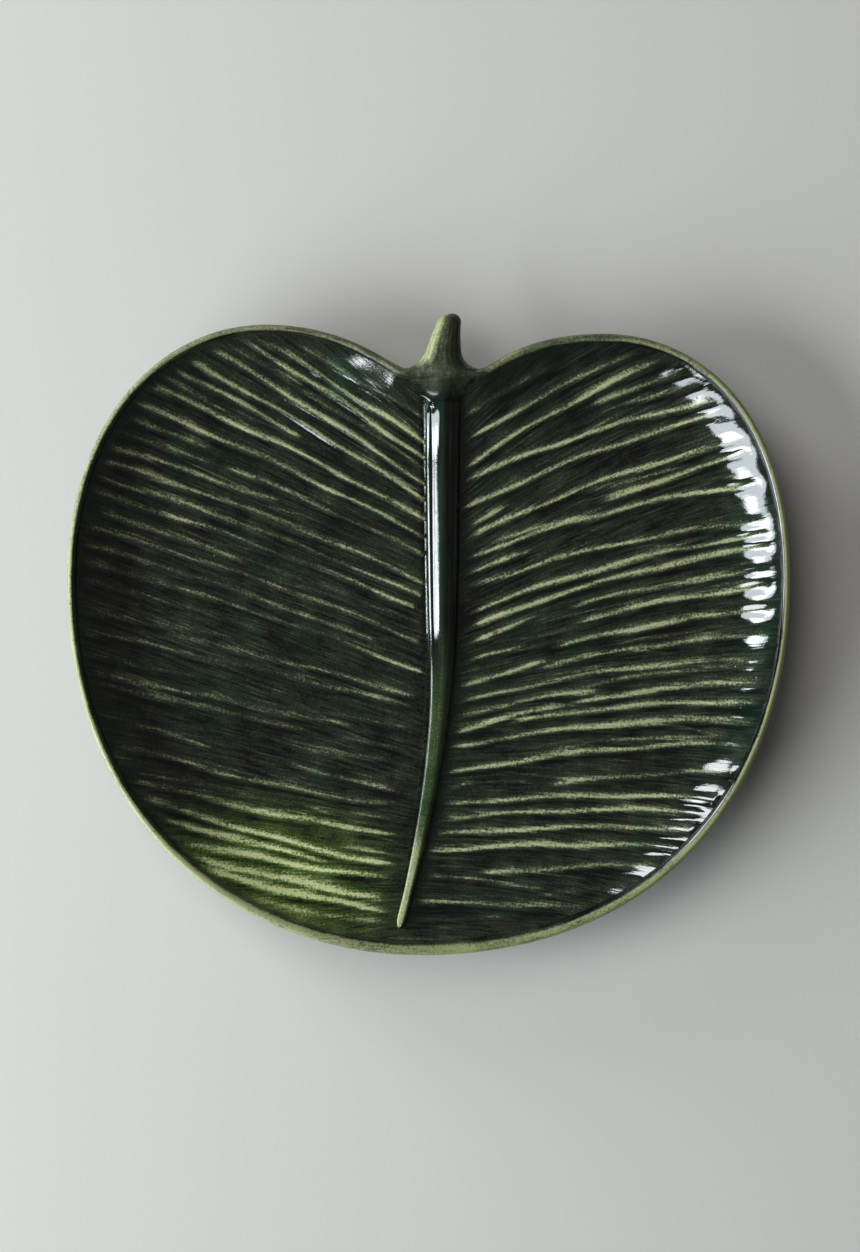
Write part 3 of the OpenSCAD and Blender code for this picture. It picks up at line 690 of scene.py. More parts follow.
def one_vein(leaf, hand, vein, points, spread):
    """Height, bareness, and the pooled glaze and painted shade at its lower foot, that one vein gives to
    points of its side.
    """
    run = (points - vein.start) @ vein.along
    t = run / vein.length
    waver = VEIN_WAVER * np.sin(vein.phase + 2 * math.pi * run / VEIN_WAVER_LENGTH)
    off = (points - vein.start) @ vein.up - vein.bow * 4 * t * (1 - t) - waver
    start_over = np.interp(vein.start[1], VEIN_START_Y, VEIN_START[hand])
    late = np.interp(vein.start[1], VEIN_START_Y, VEIN_LATE[hand])
    begin = smooth((run - late) / start_over + 0.5)
    stop = smooth((vein.length + vein.past - run) / VEIN_END + 0.5)
    width = leaf.size.vein_width * spread * uneven(vein, t, *WIDTH_WAVE) * mix(VEIN_POINT, 1, begin)
    level = vein.share * uneven(vein, t, *HEIGHT_WAVE) * begin * stop
    side = np.where(off > 0, CREST_ABOVE, CREST_BELOW) * width
    drained = mix(bell(off / side), bell(off / (HALO * side)), HALO_SHARE)
    drained *= uneven(vein, run / BARE_WAVE_RUN, *BARE_WAVE)
    return level * np.stack([bell(off / width), drained, bell((off / width - POOLED_SHADE_AT) / POOLED_SHADE_WIDE)])


def carve(leaf, hand, veins, points, inset):
    """How high a side's veins stand at points, how bare of glaze they are, and how the glaze pools by them,
    with painted shade at their lower feet.
    """
    x, y = points[:, 0], points[:, 1]
    spread = mix(1.0, VEIN_SPREAD, clamp01(np.abs(x) / VEIN_SPREAD_X))
    spread *= mix(1.0, VEIN_WALL_SPREAD[hand], smooth((WALL_SPREAD_FROM - inset) / WALL_BLEND))
    rise, bare, pooled_shade = np.max([one_vein(leaf, hand, vein, points, spread) for vein in veins], axis=0)
    past_lip = inset - leaf.size.lip_width
    fade_over = np.interp(y / MM, WALL_Y, WALL_FADE[hand]) * MM
    wall_fade = smooth((past_lip - VEIN_STOP) / fade_over)
    glaze_fade = smooth((past_lip - GLAZE_STOP) / GLAZE_FADE)
    beside_rib = np.abs(x - leaf.rib_x(y)) - leaf.size.midrib_width / 2
    low_start = mix(VEIN_LOW_START, 1.0, smooth(beside_rib / VEIN_CLIMB))
    wall_share = np.interp(y / MM, WALL_Y, WALL_SHARE[hand])
    low_wall = mix(1.0, wall_share, smooth((VEIN_WALL_FROM - inset) / WALL_BLEND))
    rise = np.minimum(rise, VEIN_MOST) * low_start * low_wall * wall_fade
    bare = np.minimum(bare, 1.0) * glaze_fade
    return rise, bare, pooled_shade * glaze_fade * (1 - bare)


def tool_marks(across, along):
    """Thin broken ridges that the carving tool leaves beside the veins, from 0 to 1."""
    a, b = across / MM, along / MM
    wave = np.sin(a / 0.8 + 1.3 * np.sin(b / 11 + a / 3.7) + 0.5 * np.sin(b / 4.3 - a / 5))
    broken = smooth(0.45 + 0.8 * np.sin(b / 13 + a / 2.1) * np.sin(b / 31 - a / 6.3 + 1))
    return bell(wave / 0.3) * broken


def undulation(points):
    """Slow unevenness that pressing by hand leaves, from -1 to 1."""
    x, y = points[:, 0] / MM, points[:, 1] / MM
    short = np.sin(x / 7.3 + 0.6 * np.sin(y / 11)) * np.sin(y / 8.1 + 1.3)
    return 0.5 * short + 0.5 * np.sin(x / 15 + y / 12)


def new_piece_mesh():
    """An empty mesh with the values that the glaze reads."""
    bm = bmesh.new()
    for name in GLAZE_VALUES:
        bm.verts.layers.float.new(name)
    bm.verts.layers.float_vector.new("flow")
    return bm


def add_sheet(bm, points, values=None, flow=None):
    """Adds a grid whose vertices move onto a table of points, columns by rows, with values for the glaze."""
    columns, rows = points.shape[:2]
    made = bmesh.ops.create_grid(bm, x_segments=columns - 1, y_segments=rows - 1, size=1.0)["verts"]
    flat = np.array([v.co.xy for v in made])
    share = (flat - flat.min(axis=0)) / np.ptp(flat, axis=0)
    column = np.rint(share[:, 0] * (columns - 1)).astype(int)
    row = np.rint(share[:, 1] * (rows - 1)).astype(int)
    for vert, place in zip(made, points[column, row]):
        vert.co = place
    for name, table in (values or {}).items():
        layer = bm.verts.layers.float[name]
        for vert, value in zip(made, table[column, row]):
            vert[layer] = value
    if flow is not None:
        layer = bm.verts.layers.float_vector["flow"]
        for vert, value in zip(made, flow[column, row]):
            vert[layer] = value


def by_name(rows):
    """Tables of the glaze's values, columns by rows, from each row's values."""
    return {name: np.stack([row[name] for row in rows], axis=1) for name in rows[0]}


def close_ends(bm):
    """Caps the open ends of a tube, with a crisp edge round each cap."""
    bmesh.ops.remove_doubles(bm, verts=bm.verts, dist=WELD)
    rim = [edge for edge in bm.edges if edge.is_boundary]
    for edge in rim:
        edge.smooth = False
    bmesh.ops.holes_fill(bm, edges=rim)


def tube(points, values, flow):
    """A mesh whose rows run round a tube with closed ends."""
    bm = new_piece_mesh()
    add_sheet(bm, np.stack(points, axis=1), values, np.stack(flow, axis=1))
    close_ends(bm)
    return bm


def finish_piece(bm, name, node, material):
    """Welds the mesh, stops if it is not closed, and puts it in the place of a node of the frame."""
    bmesh.ops.remove_doubles(bm, verts=bm.verts, dist=WELD)
    bmesh.ops.dissolve_degenerate(bm, edges=bm.edges, dist=WELD)
    bmesh.ops.recalc_face_normals(bm, faces=bm.faces)
    loose = [edge for edge in bm.edges if not edge.is_manifold]
    if loose:
        raise RuntimeError(f"{name} has {len(loose)} open edges, the first at {loose[0].verts[0].co[:]}")
    for edge in bm.edges:
        if edge.calc_face_angle() > FOLD:
            edge.smooth = False
    mesh = bpy.data.meshes.new(name)
    bm.to_mesh(mesh)
    bm.free()
    mesh.shade_smooth()
    mesh.materials.append(material)
    piece = bpy.data.objects.new(name, mesh)
    bpy.context.collection.objects.link(piece)
    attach(piece, BODY)
    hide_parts(node)
    return piece


class Wire:
    """A socket of a node tree. Python's operators on it add Math nodes."""

    def __init__(self, nodes, socket):
        self.nodes = nodes
        self.socket = socket

    def __add__(self, other):
        return self.nodes.math("ADD", self, other)

    def __sub__(self, other):
        return self.nodes.math("SUBTRACT", self, other)

    def __rsub__(self, other):
        return self.nodes.math("SUBTRACT", other, self)

    def __mul__(self, other):
        return self.nodes.math("MULTIPLY", self, other)

    __radd__ = __add__
    __rmul__ = __mul__


class Nodes:
    """The node tree of a material or of the world."""

    def __init__(self, owner):
        owner.use_nodes = True
        self.tree = owner.node_tree
        self.tree.nodes.clear()

    def add(self, kind, settings=None, sockets=None, out=0):
        """Adds a node, sets it up, fills its sockets with values or links, and gives one of its outputs."""
        node = self.tree.nodes.new(kind)
        for key, value in (settings or {}).items():
            setattr(node, key, value)
        for key, value in (sockets or {}).items():
            if isinstance(value, Wire):
                self.tree.links.new(value.socket, node.inputs[key])
            else:
                node.inputs[key].default_value = value
        return Wire(self, node.outputs[out]) if node.outputs else node

    def math(self, operation, a, b):
        """A Math node of two values."""
        return self.add("ShaderNodeMath", {"operation": operation}, {0: a, 1: b})

    def step(self, value, low, high):
        """A soft step from 0 at low to 1 at high."""
        return self.add(
            "ShaderNodeMapRange", {"interpolation_type": "SMOOTHSTEP"}, {0: value, 1: low, 2: high}
        )

    def blend(self, factor, a, b):
        """A colour between two colours."""
        colours = [c if isinstance(c, Wire) else (*c, 1.0) for c in (a, b)]
        sockets = {0: factor, 6: colours[0], 7: colours[1]}
        return self.add("ShaderNodeMix", {"data_type": "RGBA"}, sockets, out=2)

    def value_of(self, name):
        """A number that the mesh carries."""
        return self.add("ShaderNodeAttribute", {"attribute_name": name}, out="Fac")

    def vector_of(self, name):
        """A vector that the mesh carries."""
        return self.add("ShaderNodeAttribute", {"attribute_name": name}, out="Vector")

    def place(self):
        """The place on the object."""
        return self.add("ShaderNodeTexCoord", out="Object")

    def stretched(self, vector, scale):
        """The same vector, scaled along each axis."""
        return self.add("ShaderNodeMapping", {}, {"Vector": vector, "Scale": scale})

    def noise(self, vector, scale, detail=2.0):
        """Cloudy noise from 0 to 1, with so many clouds to the metre."""
        sockets = {"Vector": vector, "Scale": scale, "Detail": detail}
        return self.add("ShaderNodeTexNoise", {}, sockets)


def glaze(name, colours, look):
    """Pooled green glaze that drains off crests and edges, with flow streaks, grain, specks and pinholes."""
    material = bpy.data.materials.new(name)
    nodes = Nodes(material)
    place = nodes.place()
    thin, green, leafy, brown, rills = [nodes.value_of(value) for value in GLAZE_VALUES]
    flow = nodes.stretched(nodes.vector_of("flow"), look.streaks)
    streak = nodes.noise(flow, 1.0, detail=3.0)
    thread = nodes.noise(flow, 2.7, detail=2.0)
    mottle = nodes.noise(place, 110.0, detail=3.0)
    grain = nodes.noise(place, 1700.0)

    clouds = (streak - 0.5) * 0.6 + (thread - 0.5) * 0.5 + (mottle - 0.5) * 0.5
    depth = thin + clouds * look.cloudy + (grain - 0.5) * thin * look.sandy
    half_drained = nodes.step(depth, 0.05, 0.55)
    drained = nodes.step(depth, 0.4, 1.0)
    bottle = green + nodes.step(nodes.noise(place, 75.0, detail=2.0), 0.48, 0.68) * 0.45
    pool, middle, crest = [
        # The colours low on the left carry painted sunlight as well as the glaze's green
        nodes.blend(leafy, nodes.blend(bottle, plain, on_wall), low_left)
        for plain, on_wall, low_left in (
            (colours.pool, colours.bottle_pool, colours.sunlit_leafy_pool),
            (colours.olive, colours.bottle_green, colours.sunlit_leafy_green),
            (colours.khaki, colours.bottle_crest, colours.sunlit_leafy_crest),
        )
    ]
    crest = nodes.blend(brown, crest, colours.brown)
    colour = nodes.blend(drained, nodes.blend(half_drained, pool, middle), crest)

    cell = nodes.add("ShaderNodeTexVoronoi", {}, {"Vector": place, "Scale": 230.0}, out="Distance")
    speck = (1 - nodes.step(cell, 0.05, 0.09)) * nodes.step(mottle, 0.5, 0.6)
    colour = nodes.blend(speck * 0.8, colour, colours.speck)

    bump_height = streak * (0.8 + rills * 0.9) + grain * 0.25 + mottle - speck
    bump = nodes.add("ShaderNodeBump", {}, {"Height": bump_height, "Strength": 0.35, "Distance": 0.15 * MM})
    dulled = (half_drained * look.dull[0] + drained * look.dull[1]) * (1 - green * 0.85)
    rough = 0.07 + dulled + (mottle - 0.5) * 0.06
    surface = nodes.add(
        "ShaderNodeBsdfPrincipled",
        {},
        {"Base Color": colour, "Roughness": rough, "Normal": bump, "IOR": look.gloss},
    )
    nodes.add("ShaderNodeOutputMaterial", {}, {"Surface": surface})
    return material


def bare_clay(colours):
    """Dry sandy clay with grog and soft darker clouds."""
    material = bpy.data.materials.new("sandy_clay")
    nodes = Nodes(material)
    place = nodes.place()
    sand = nodes.noise(place, 1800.0, detail=3.0)
    cloud = nodes.noise(place, 60.0)
    dark = tuple(0.62 * c for c in colours.clay)
    colour = nodes.blend(sand * 0.6 + cloud * 0.3, colours.clay, dark)
    bump = nodes.add("ShaderNodeBump", {}, {"Height": sand, "Strength": 0.5, "Distance": 0.15 * MM})
    rough = 0.8 + sand * 0.15
    surface = nodes.add(
        "ShaderNodeBsdfPrincipled", {}, {"Base Color": colour, "Roughness": rough, "Normal": bump}
    )
    nodes.add("ShaderNodeOutputMaterial", {}, {"Surface": surface})
    return material


def blade_lines():
    """The lines that the blade's columns follow, closest where the veins are."""
    ends = (0, ROOT_LINE, LOBE_LINE, END_LINE, LAST_LINE)
    parts = [np.linspace(a, b, n, endpoint=False) for a, b, n in zip(ends, ends[1:], BLADE_COLUMNS)]
    return np.concatenate(parts + [[LAST_LINE]])


def field_share(step, run):
    """Share of the run from midrib to lip at which a row lies, close at both ends."""
    first, last = FIELD_ROW_ENDS
    inner = np.minimum(FIELD_INNER / run, FIELD_INNER_MOST)
    outer = 1 - np.minimum(FIELD_OUTER / run, FIELD_OUTER_MOST)
    if step < first:
        return inner * step / first
    if step < last:
        return mix(inner, outer, (step - first) / (last - first))
    return mix(outer, 1.0, (step - last) / (1 - last))


def from_patch(x, y, middle, reach):
    """Distance from the middle of a patch of glaze, where 1 is the patch's reach."""
    return np.hypot((x - middle[0]) / reach[0], (y - middle[1]) / reach[1])


class BladeSide:
    """One side of the blade, from the midrib over the edge to the middle of the base, and its glaze."""

    def __init__(self, leaf, hand, lines):
        self.leaf = leaf
        self.hand = hand
        self.lines = lines
        self.veins = veins_of(leaf, hand)
        self.start = leaf.rib_side(hand, lines)
        self.place = leaf.line_place(hand, lines)
        self.edge, self.inward = leaf.edge(hand, self.place)
        self.lip_width = leaf.lip_width(self.place)
        self.end = self.edge + self.lip_width[:, None] * self.inward
        self.run = np.maximum(np.linalg.norm(self.end - self.start, axis=1), WELD)
        self.seam = smooth((LAST_LINE - lines) / SEAM_LINES)

    def plan(self, share):
        """Points at a share of the run from midrib to lip. The lines on the right bow up."""
        lift = LINE_BOW[self.hand] * smooth(self.lines / LOBE_LINE - 0.5) * (1 - self.lines / LAST_LINE)
        knee = (self.start + self.end) / 2 + np.stack([0 * lift, lift], axis=1)
        t = share[:, None]
        return (1 - t) ** 2 * self.start + 2 * t * (1 - t) * knee + t * t * self.end

    def flow(self, plan, share):
        """Distances across and along the lines, which the glaze's streaks follow."""
        last = np.searchsorted(self.lines, END_LINE)
        last_x = self.hand * np.array([self.start[last, 0], self.end[last, 0]])
        last_y = np.array([self.start[last, 1], self.end[last, 1]])
        out = self.hand * plan[:, 0]
        below = np.maximum(np.interp(out, last_x, last_y) - plan[:, 1], 0)
        past_end = self.lines > END_LINE
        across = FLOW_SPAN / LAST_LINE * np.minimum(self.lines, END_LINE) + np.where(past_end, below, 0)
        return across, np.where(past_end, out - last_x[0], share * self.run)

    def groove(self, share):
        """Depth of the groove along the midrib."""
        middle, width, depth_share = GROOVE[self.hand]
        low_share = mix(1.0, GROOVE_LOW[self.hand], below(self.start[:, 1], LOWER_HALF))
        beside = bell((share * self.run - middle) / width) * smooth(self.run / GROOVE_RUN - 0.5)
        return self.leaf.size.groove_depth * depth_share * low_share * beside

    def field_row(self, row):
        """Points, flow and glaze of one row between midrib and lip."""
        share = field_share(row / FIELD_ROWS, self.run)
        plan = self.plan(share)
        inset = self.leaf.from_edge(plan)
        across, along = self.flow(plan, share)
        carved = carve(self.leaf, self.hand, self.veins, plan, inset)
        rise, bare, pooled_shade = [self.seam * part for part in carved]
        floor = smooth((inset - WALL_FROM) / FLOOR_BLEND)
        marks = tool_marks(across, along) * floor * self.seam
        marks *= smooth((share * self.run - TOOL_MARK_FROM) / TOOL_MARK_FROM)
        z = self.leaf.well_z(inset) + self.leaf.size.vein_height * rise - self.groove(share)
        z += PRESSED_HEIGHT * undulation(plan) * floor + TOOL_MARK_HEIGHT * marks
        if row == 0:
            z = self.leaf.bed_z(self.lines)
        flow = np.column_stack([across, along, 0 * along])
        return np.column_stack([plan, z]), flow, self.glaze_values(plan, inset, bare, pooled_shade, marks)

    def glaze_values(self, plan, inset, bare, pooled_shade, marks):
        """Values for the glaze: thin on crests and tool marks, green on the wall, brighter green with
        painted sunlight low on the left.
        """
        x, y = plan[:, 0] / MM, plan[:, 1] / MM
        tone = WALL_TONES[self.hand]
        # Painted sunlight: the patch low on the left is paler and greener
        leafy = smooth(SUNLIT_LEAFY_EDGE - from_patch(x, y, *SUNLIT_LEAFY_PATCH))
        # Painted reflection: a grey sheen that dulls the crests in the left middle
        reflected_veil = bell(from_patch(x, y, *REFLECTION_VEIL_PATCH))
        wall = smooth(1 - (inset - WALL_FROM) / WALL_GLAZE)
        by_tip = smooth((self.place - TIP_BAND_PLACE) / TIP_BAND_BLEND)
        tip_band = smooth(1 - (inset - self.lip_width) / TIP_BAND_WIDTH) * by_tip
        # Painted shade: crests are dimmed on the left, below the lobes
        painted_shade_left = smooth((-x - 2) / 30) * smooth((50 - y) / 25)
        bare = bare ** (1 - 0.35 * leafy) * (1 - tone.covered * (1 - leafy) * wall)
        bare *= 1 - 0.35 * painted_shade_left * (1 - leafy)
        # Painted shade: a dark line under each crest, where the glaze also pools
        thin = 0.245 + 0.05 * leafy + (0.68 + 0.1 * leafy) * bare + 0.2 * marks - 0.16 * pooled_shade
        thin = mix(thin, 0.28, 0.4 * reflected_veil) + 0.15 * tip_band - tone.pooled * wall * (1 - leafy)
        green = tone.green * bell((y - GREEN_Y) / GREEN_REACH)
        green_notch = bell(from_patch(x, y, *NOTCH_PATCH))
        return {
            "thin": clamp01(thin),
            "bottle": np.maximum(wall * (0.1 + green), 0.6 * green_notch),
            "leafy": leafy,
            "brown": 0.6 * tip_band,
            "rills": tone.rills * wall,
        }

    def tables(self):
        """Points, glaze and flow of the whole side, columns by rows."""
        rows = [self.field_row(row) for row in range(FIELD_ROWS + 1)]
        points, flow, glazes = [list(part) for part in zip(*rows)]
        for inset in np.linspace(0, 1, UNDER_ROWS) ** UNDER_ROW_CURVE * UNDER_RUN:
            z = np.full(len(self.lines), self.leaf.under_z(inset))
            points.append(np.column_stack([self.edge + inset * self.inward, z]))
        for share in BASE_SHARES:
            plan = mix(self.edge + UNDER_RUN * self.inward, foot_middle(), share)
            points.append(np.column_stack([plan, np.full(len(self.lines), self.leaf.size.foot_height)]))
        hidden = UNDER_ROWS + len(BASE_SHARES)
        flow += hidden * [flow[FIELD_ROWS]]
        glazes += hidden * [{name: np.full(len(self.lines), value) for name, value in UNDER_GLAZE.items()}]
        return np.stack(points, axis=1), by_name(glazes), np.stack(flow, axis=1)


def foot_middle():
    """Middle of the foot ring, in plan."""
    low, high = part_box("foot_ring")
    return np.array([(low.x + high.x) / 2, (low.y + high.y) / 2])


class LEAFPLATE_OT_blade(bpy.types.Operator):
    """Builds the pressed blade with its carved veins"""

    bl_idname = "leafplate.blade"
    bl_label = "Leaf blade"

    def execute(self, context):
        leaf = LeafShape(context.scene.leafplate_size)
        lines = blade_lines()
        bm = new_piece_mesh()
        tables = {}
        for hand in (LEFT, RIGHT):
            points, values, flow = BladeSide(leaf, hand, lines).tables()
            add_sheet(bm, points, values, flow)
            tables[hand] = points
        across = np.linspace(0, 1, BED_COLUMNS + 1)
        add_sheet(bm, mix(tables[LEFT][:, :1], tables[RIGHT][:, :1], across[None, :, None]))
        roots = [tables[hand][:1, FIELD_ROWS:] for hand in (LEFT, RIGHT)]
        add_sheet(bm, mix(*roots, across[:, None, None]))
        material = glaze("green_leaf_glaze", context.scene.leafplate_glaze, BLADE_LOOK)
        finish_piece(bm, "veined_blade", "leaf_blade", material)
        return {"FINISHED"}


def lip_path(leaf):
    """Points round the whole edge from the middle of the notch, their inward directions and their places."""
    places = np.linspace(0, 3, LIP_COLUMNS)
    left, left_inward = leaf.edge(LEFT, places)
    right, right_inward = leaf.edge(RIGHT, places[::-1])
    below_stem = np.linspace(0, 1, NOTCH_COLUMNS, endpoint=False)
    notch = np.array([STEM_X, leaf.notch_y])
    to_left = mix(notch, left[0], below_stem[:, None])
    to_right = mix(right[-1], notch, 1 - below_stem[::-1, None])
    down = np.tile([0.0, -1.0], (len(below_stem), 1))
    edge = np.concatenate([to_left, left, right[1:], to_right])
    inward = np.concatenate([down, left_inward, right_inward[1:], down])
    place = np.concatenate([0 * below_stem, places, places[::-1][1:], 0 * below_stem])
    return edge, inward, place


def lip_section(leaf, width, sag, reach):
    """Section of the lip from its outer foot over the crest: inset, height and what share of the top's
    paleness the glaze has there.
    """
    rim = leaf.size.rim_height
    crest = LIP_CREST * leaf.size.lip_width
    foot = leaf.well_z(width)
    outer_foot = np.full(len(width), leaf.lip_foot_z)
    section = [(0 * width, outer_foot, 0.8)]
    for a in np.linspace(0, math.pi / 2, LIP_OUTER_ROWS):
        inset = np.full(len(width), crest * (1 - math.cos(a)))
        z = rim - LIP_ROUND * (1 - math.sin(a)) - sag * math.sin(a)
        section.append((inset, z, mix(0.85, 1.0, math.sin(a))))
    for a in np.linspace(0, math.pi / 2, LIP_INNER_ROWS)[1:]:
        z = mix(foot, rim - sag, math.cos(a))
        pale_top = 1 - smooth((math.sin(a) - reach) / LIP_WORN_BLEND)
        section.append((mix(crest, width, math.sin(a)), z, pale_top))
    section.append((width / 2, mix(outer_foot, foot, 0.5), 0.0))
    section.append(section[0])
    return section


class LEAFPLATE_OT_lip(bpy.types.Operator):
    """Builds the rounded lip along the edge"""

    bl_idname = "leafplate.lip"
    bl_label = "Lip"

    def execute(self, context):
        leaf = LeafShape(context.scene.leafplate_size)
        edge, inward, place = lip_path(leaf)
        run = np.concatenate([[0.0], np.cumsum(np.linalg.norm(np.diff(edge, axis=0), axis=1))])
        turn = np.degrees(np.arctan2(edge[:, 1], edge[:, 0])) % 360
        # How pale the top is round the lip: partly rubbed glaze, partly painted light and shade
        pale_top, pooled, reach, brown = [
            np.interp(turn, LIP_TURN, table) for table in (LIP_WORN_AND_LIT, LIP_POOLED, LIP_REACH, LIP_BROWN)
        ]
        sag = LIP_SAG * (1 + undulation(edge))
        section = lip_section(leaf, leaf.lip_width(place), sag, reach)
        points = [np.column_stack([edge + inset[:, None] * inward, z]) for inset, z, _ in section]
        across = LIP_FLOW * np.arange(len(section))
        flow = [np.column_stack([np.full(len(run), step), run, 0 * run]) for step in across]
        values = {
            "thin": np.stack([mix(pooled, pale_top, share) for _, _, share in section], axis=1),
            "brown": np.tile(brown[:, None], (1, len(section))),
        }
        bm = tube(points, values, flow)
        material = glaze("olive_lip_glaze", context.scene.leafplate_glaze, LIP_LOOK)
        finish_piece(bm, "glazed_lip", "rim_bead", material)
        return {"FINISHED"}


def rib_crown(u):
    """Height of the midrib across its width, from -1 on the left to 1 on the right."""
    fine = np.linspace(-1, 1, RIB_FINE)
    soft = np.hanning(RIB_SOFT) / np.hanning(RIB_SOFT).sum()
    raw = np.pad(np.interp(fine, RIB_ACROSS, RIB_CROWN), RIB_SOFT // 2, mode="edge")
    return np.interp(u, fine, np.convolve(raw, soft, mode="valid"))


def rib_low_crown(u):
    """Height of the midrib's lower half across its width: a crisp edge on the left, round on the right."""
    power = RIB_LOW_POWER[LEFT if u < 0 else RIGHT]
    return (1 - abs(u) ** power) ** (1 / power)


def rib_thin(u):
    """How thin the glaze lies across the midrib: thinner on its top, with two faint lines on the right that
    are painted faint highlights.
    """
    # Painted highlights: two faint pale lines on the right
    lines = bell((u - 0.42) / 0.06) + bell((u - 0.64) / 0.06)
    return 0.06 + 0.24 * bell((u + 0.1) / 0.3) + 0.1 * lines


def rib_bottle(u):
    """How green the glaze is across the midrib: most on its left."""
    return 0.75 * smooth((0.35 - u) / 0.4)


class LEAFPLATE_OT_midrib(bpy.types.Operator):
    """Builds the midrib, which thins and swings left towards the tip"""

    bl_idname = "leafplate.midrib"
    bl_label = "Midrib"

    def execute(self, context):
        leaf = LeafShape(context.scene.leafplate_size)
        size = leaf.size
        ribbed, rounded = RIB_COLUMNS
        lines = np.linspace(ROOT_LINE, END_LINE, ribbed)
        lines = np.concatenate([lines, np.linspace(END_LINE, LAST_LINE, rounded)[1:]])
        y = leaf.line_y(lines)
        rounding = leaf.rib_rounding(lines)
        bed = leaf.bed_z(lines)
        side = bed + RIB_SHOULDER * rounding
        top = bed + mix(size.midrib_height, size.midrib_tip_height, leaf.rib_taper(y)) * rounding
        low = below(y, LOWER_HALF)
        by_joint = smooth(1 - (leaf.joint_y - y) / JOINT_BLEND)
        slim = below(y, NEAR_TIP) * smooth((y - RIB_SLIM_END) / RIB_SLIM_RUN)
        half = leaf.rib_half(lines) * (1 - RIB_SLIM * slim)
        across = -np.cos(np.linspace(0, math.pi, RIB_ROWS))
        rows = [(u, None) for u in across]
        rows = [(-1.0, RIB_SUNK), *rows, (1.0, RIB_SUNK), (0.0, 2 * RIB_SUNK), (-1.0, RIB_SUNK)]
        points, flow, glazes = [], [], []
        for u, sunk in rows:
            crown = mix(rib_crown(u), math.sqrt(1 - u * u), by_joint)
            z = side + (top - side) * mix(crown, rib_low_crown(u), low)
            if sunk is not None:
                z = bed - sunk * rounding
            points.append(np.column_stack([leaf.rib_x(y) + u * half, y, z]))
            flow.append(np.column_stack([np.full(len(y), u * RIB_FLOW), y, 0 * y]))
            glazes.append(self.glaze_across(u, y))
        bm = tube(points, by_name(glazes), flow)
        material = glaze("green_rib_glaze", context.scene.leafplate_glaze, RIB_LOOK)
        finish_piece(bm, "glazed_midrib", "midrib", material)
        return {"FINISHED"}

    def glaze_across(self, u, y):
        """Glaze along the midrib, at one place across it: paler towards the tip, most on the left, with
        painted shade keeping its right side darker low on the leaf.
        """
        near_tip = below(y, NEAR_TIP)
        at_tip = below(y, AT_TIP)
        # Painted shade: the right side of the lower midrib is kept darker
        right = smooth((u + 0.1) / 0.8)
        thin = mix(rib_thin(u), 0.43 - 0.2 * right, near_tip)
        bottle = mix(rib_bottle(u), 0.45, below(y, LOWER_HALF))
        return {
            "thin": mix(thin, 0.78 - 0.5 * right, at_tip),
            "bottle": mix(bottle, 0.05, at_tip),
            # Colours of the sunlit patch towards the tip, which carry painted sunlight
            "leafy": 0.3 * near_tip,
        }


def stem_glaze(u, out):
    """Glaze along the stem, at one place across it: green by the midrib, then olive, with a painted
    highlight paling its left side and painted shade darkening its right.
    """
    beyond = smooth(out / STEM_LIT_RUN)
    # Painted highlight: the left side of the stem is paler and less brown
    lit_left_edge = smooth((-u - 0.2) / 0.6) * beyond
    streaks = 0.06 * math.sin(24 * u) * beyond
    # Painted shade: the right half is darker
    shade = 0.12 * smooth(u) * smooth(1 + out / JOINT_FROM_NOTCH)
    flank = 0.25 * u * u
    # The root's web is kept darker than the stem beyond, partly as painted shade
    tables = {
        "thin": (rib_thin(u), 0.36 - flank, 0.45 - 0.5 * flank, 0.5 + 0.5 * flank, 0.46, 0.46),
        "bottle": (rib_bottle(u), 0.2 + flank, 0.1 + flank, 0.05, 0.0, 0.0),
        "brown": (0.0, 0.1, 0.7, 0.9, 0.9, 0.9),
    }
    values = {name: np.interp(out / MM, ROOT_GLAZE_OUT, table) for name, table in tables.items()}
    values["thin"] += 0.36 * lit_left_edge + streaks - shade
    values["brown"] *= 1 - 0.6 * lit_left_edge
    return values


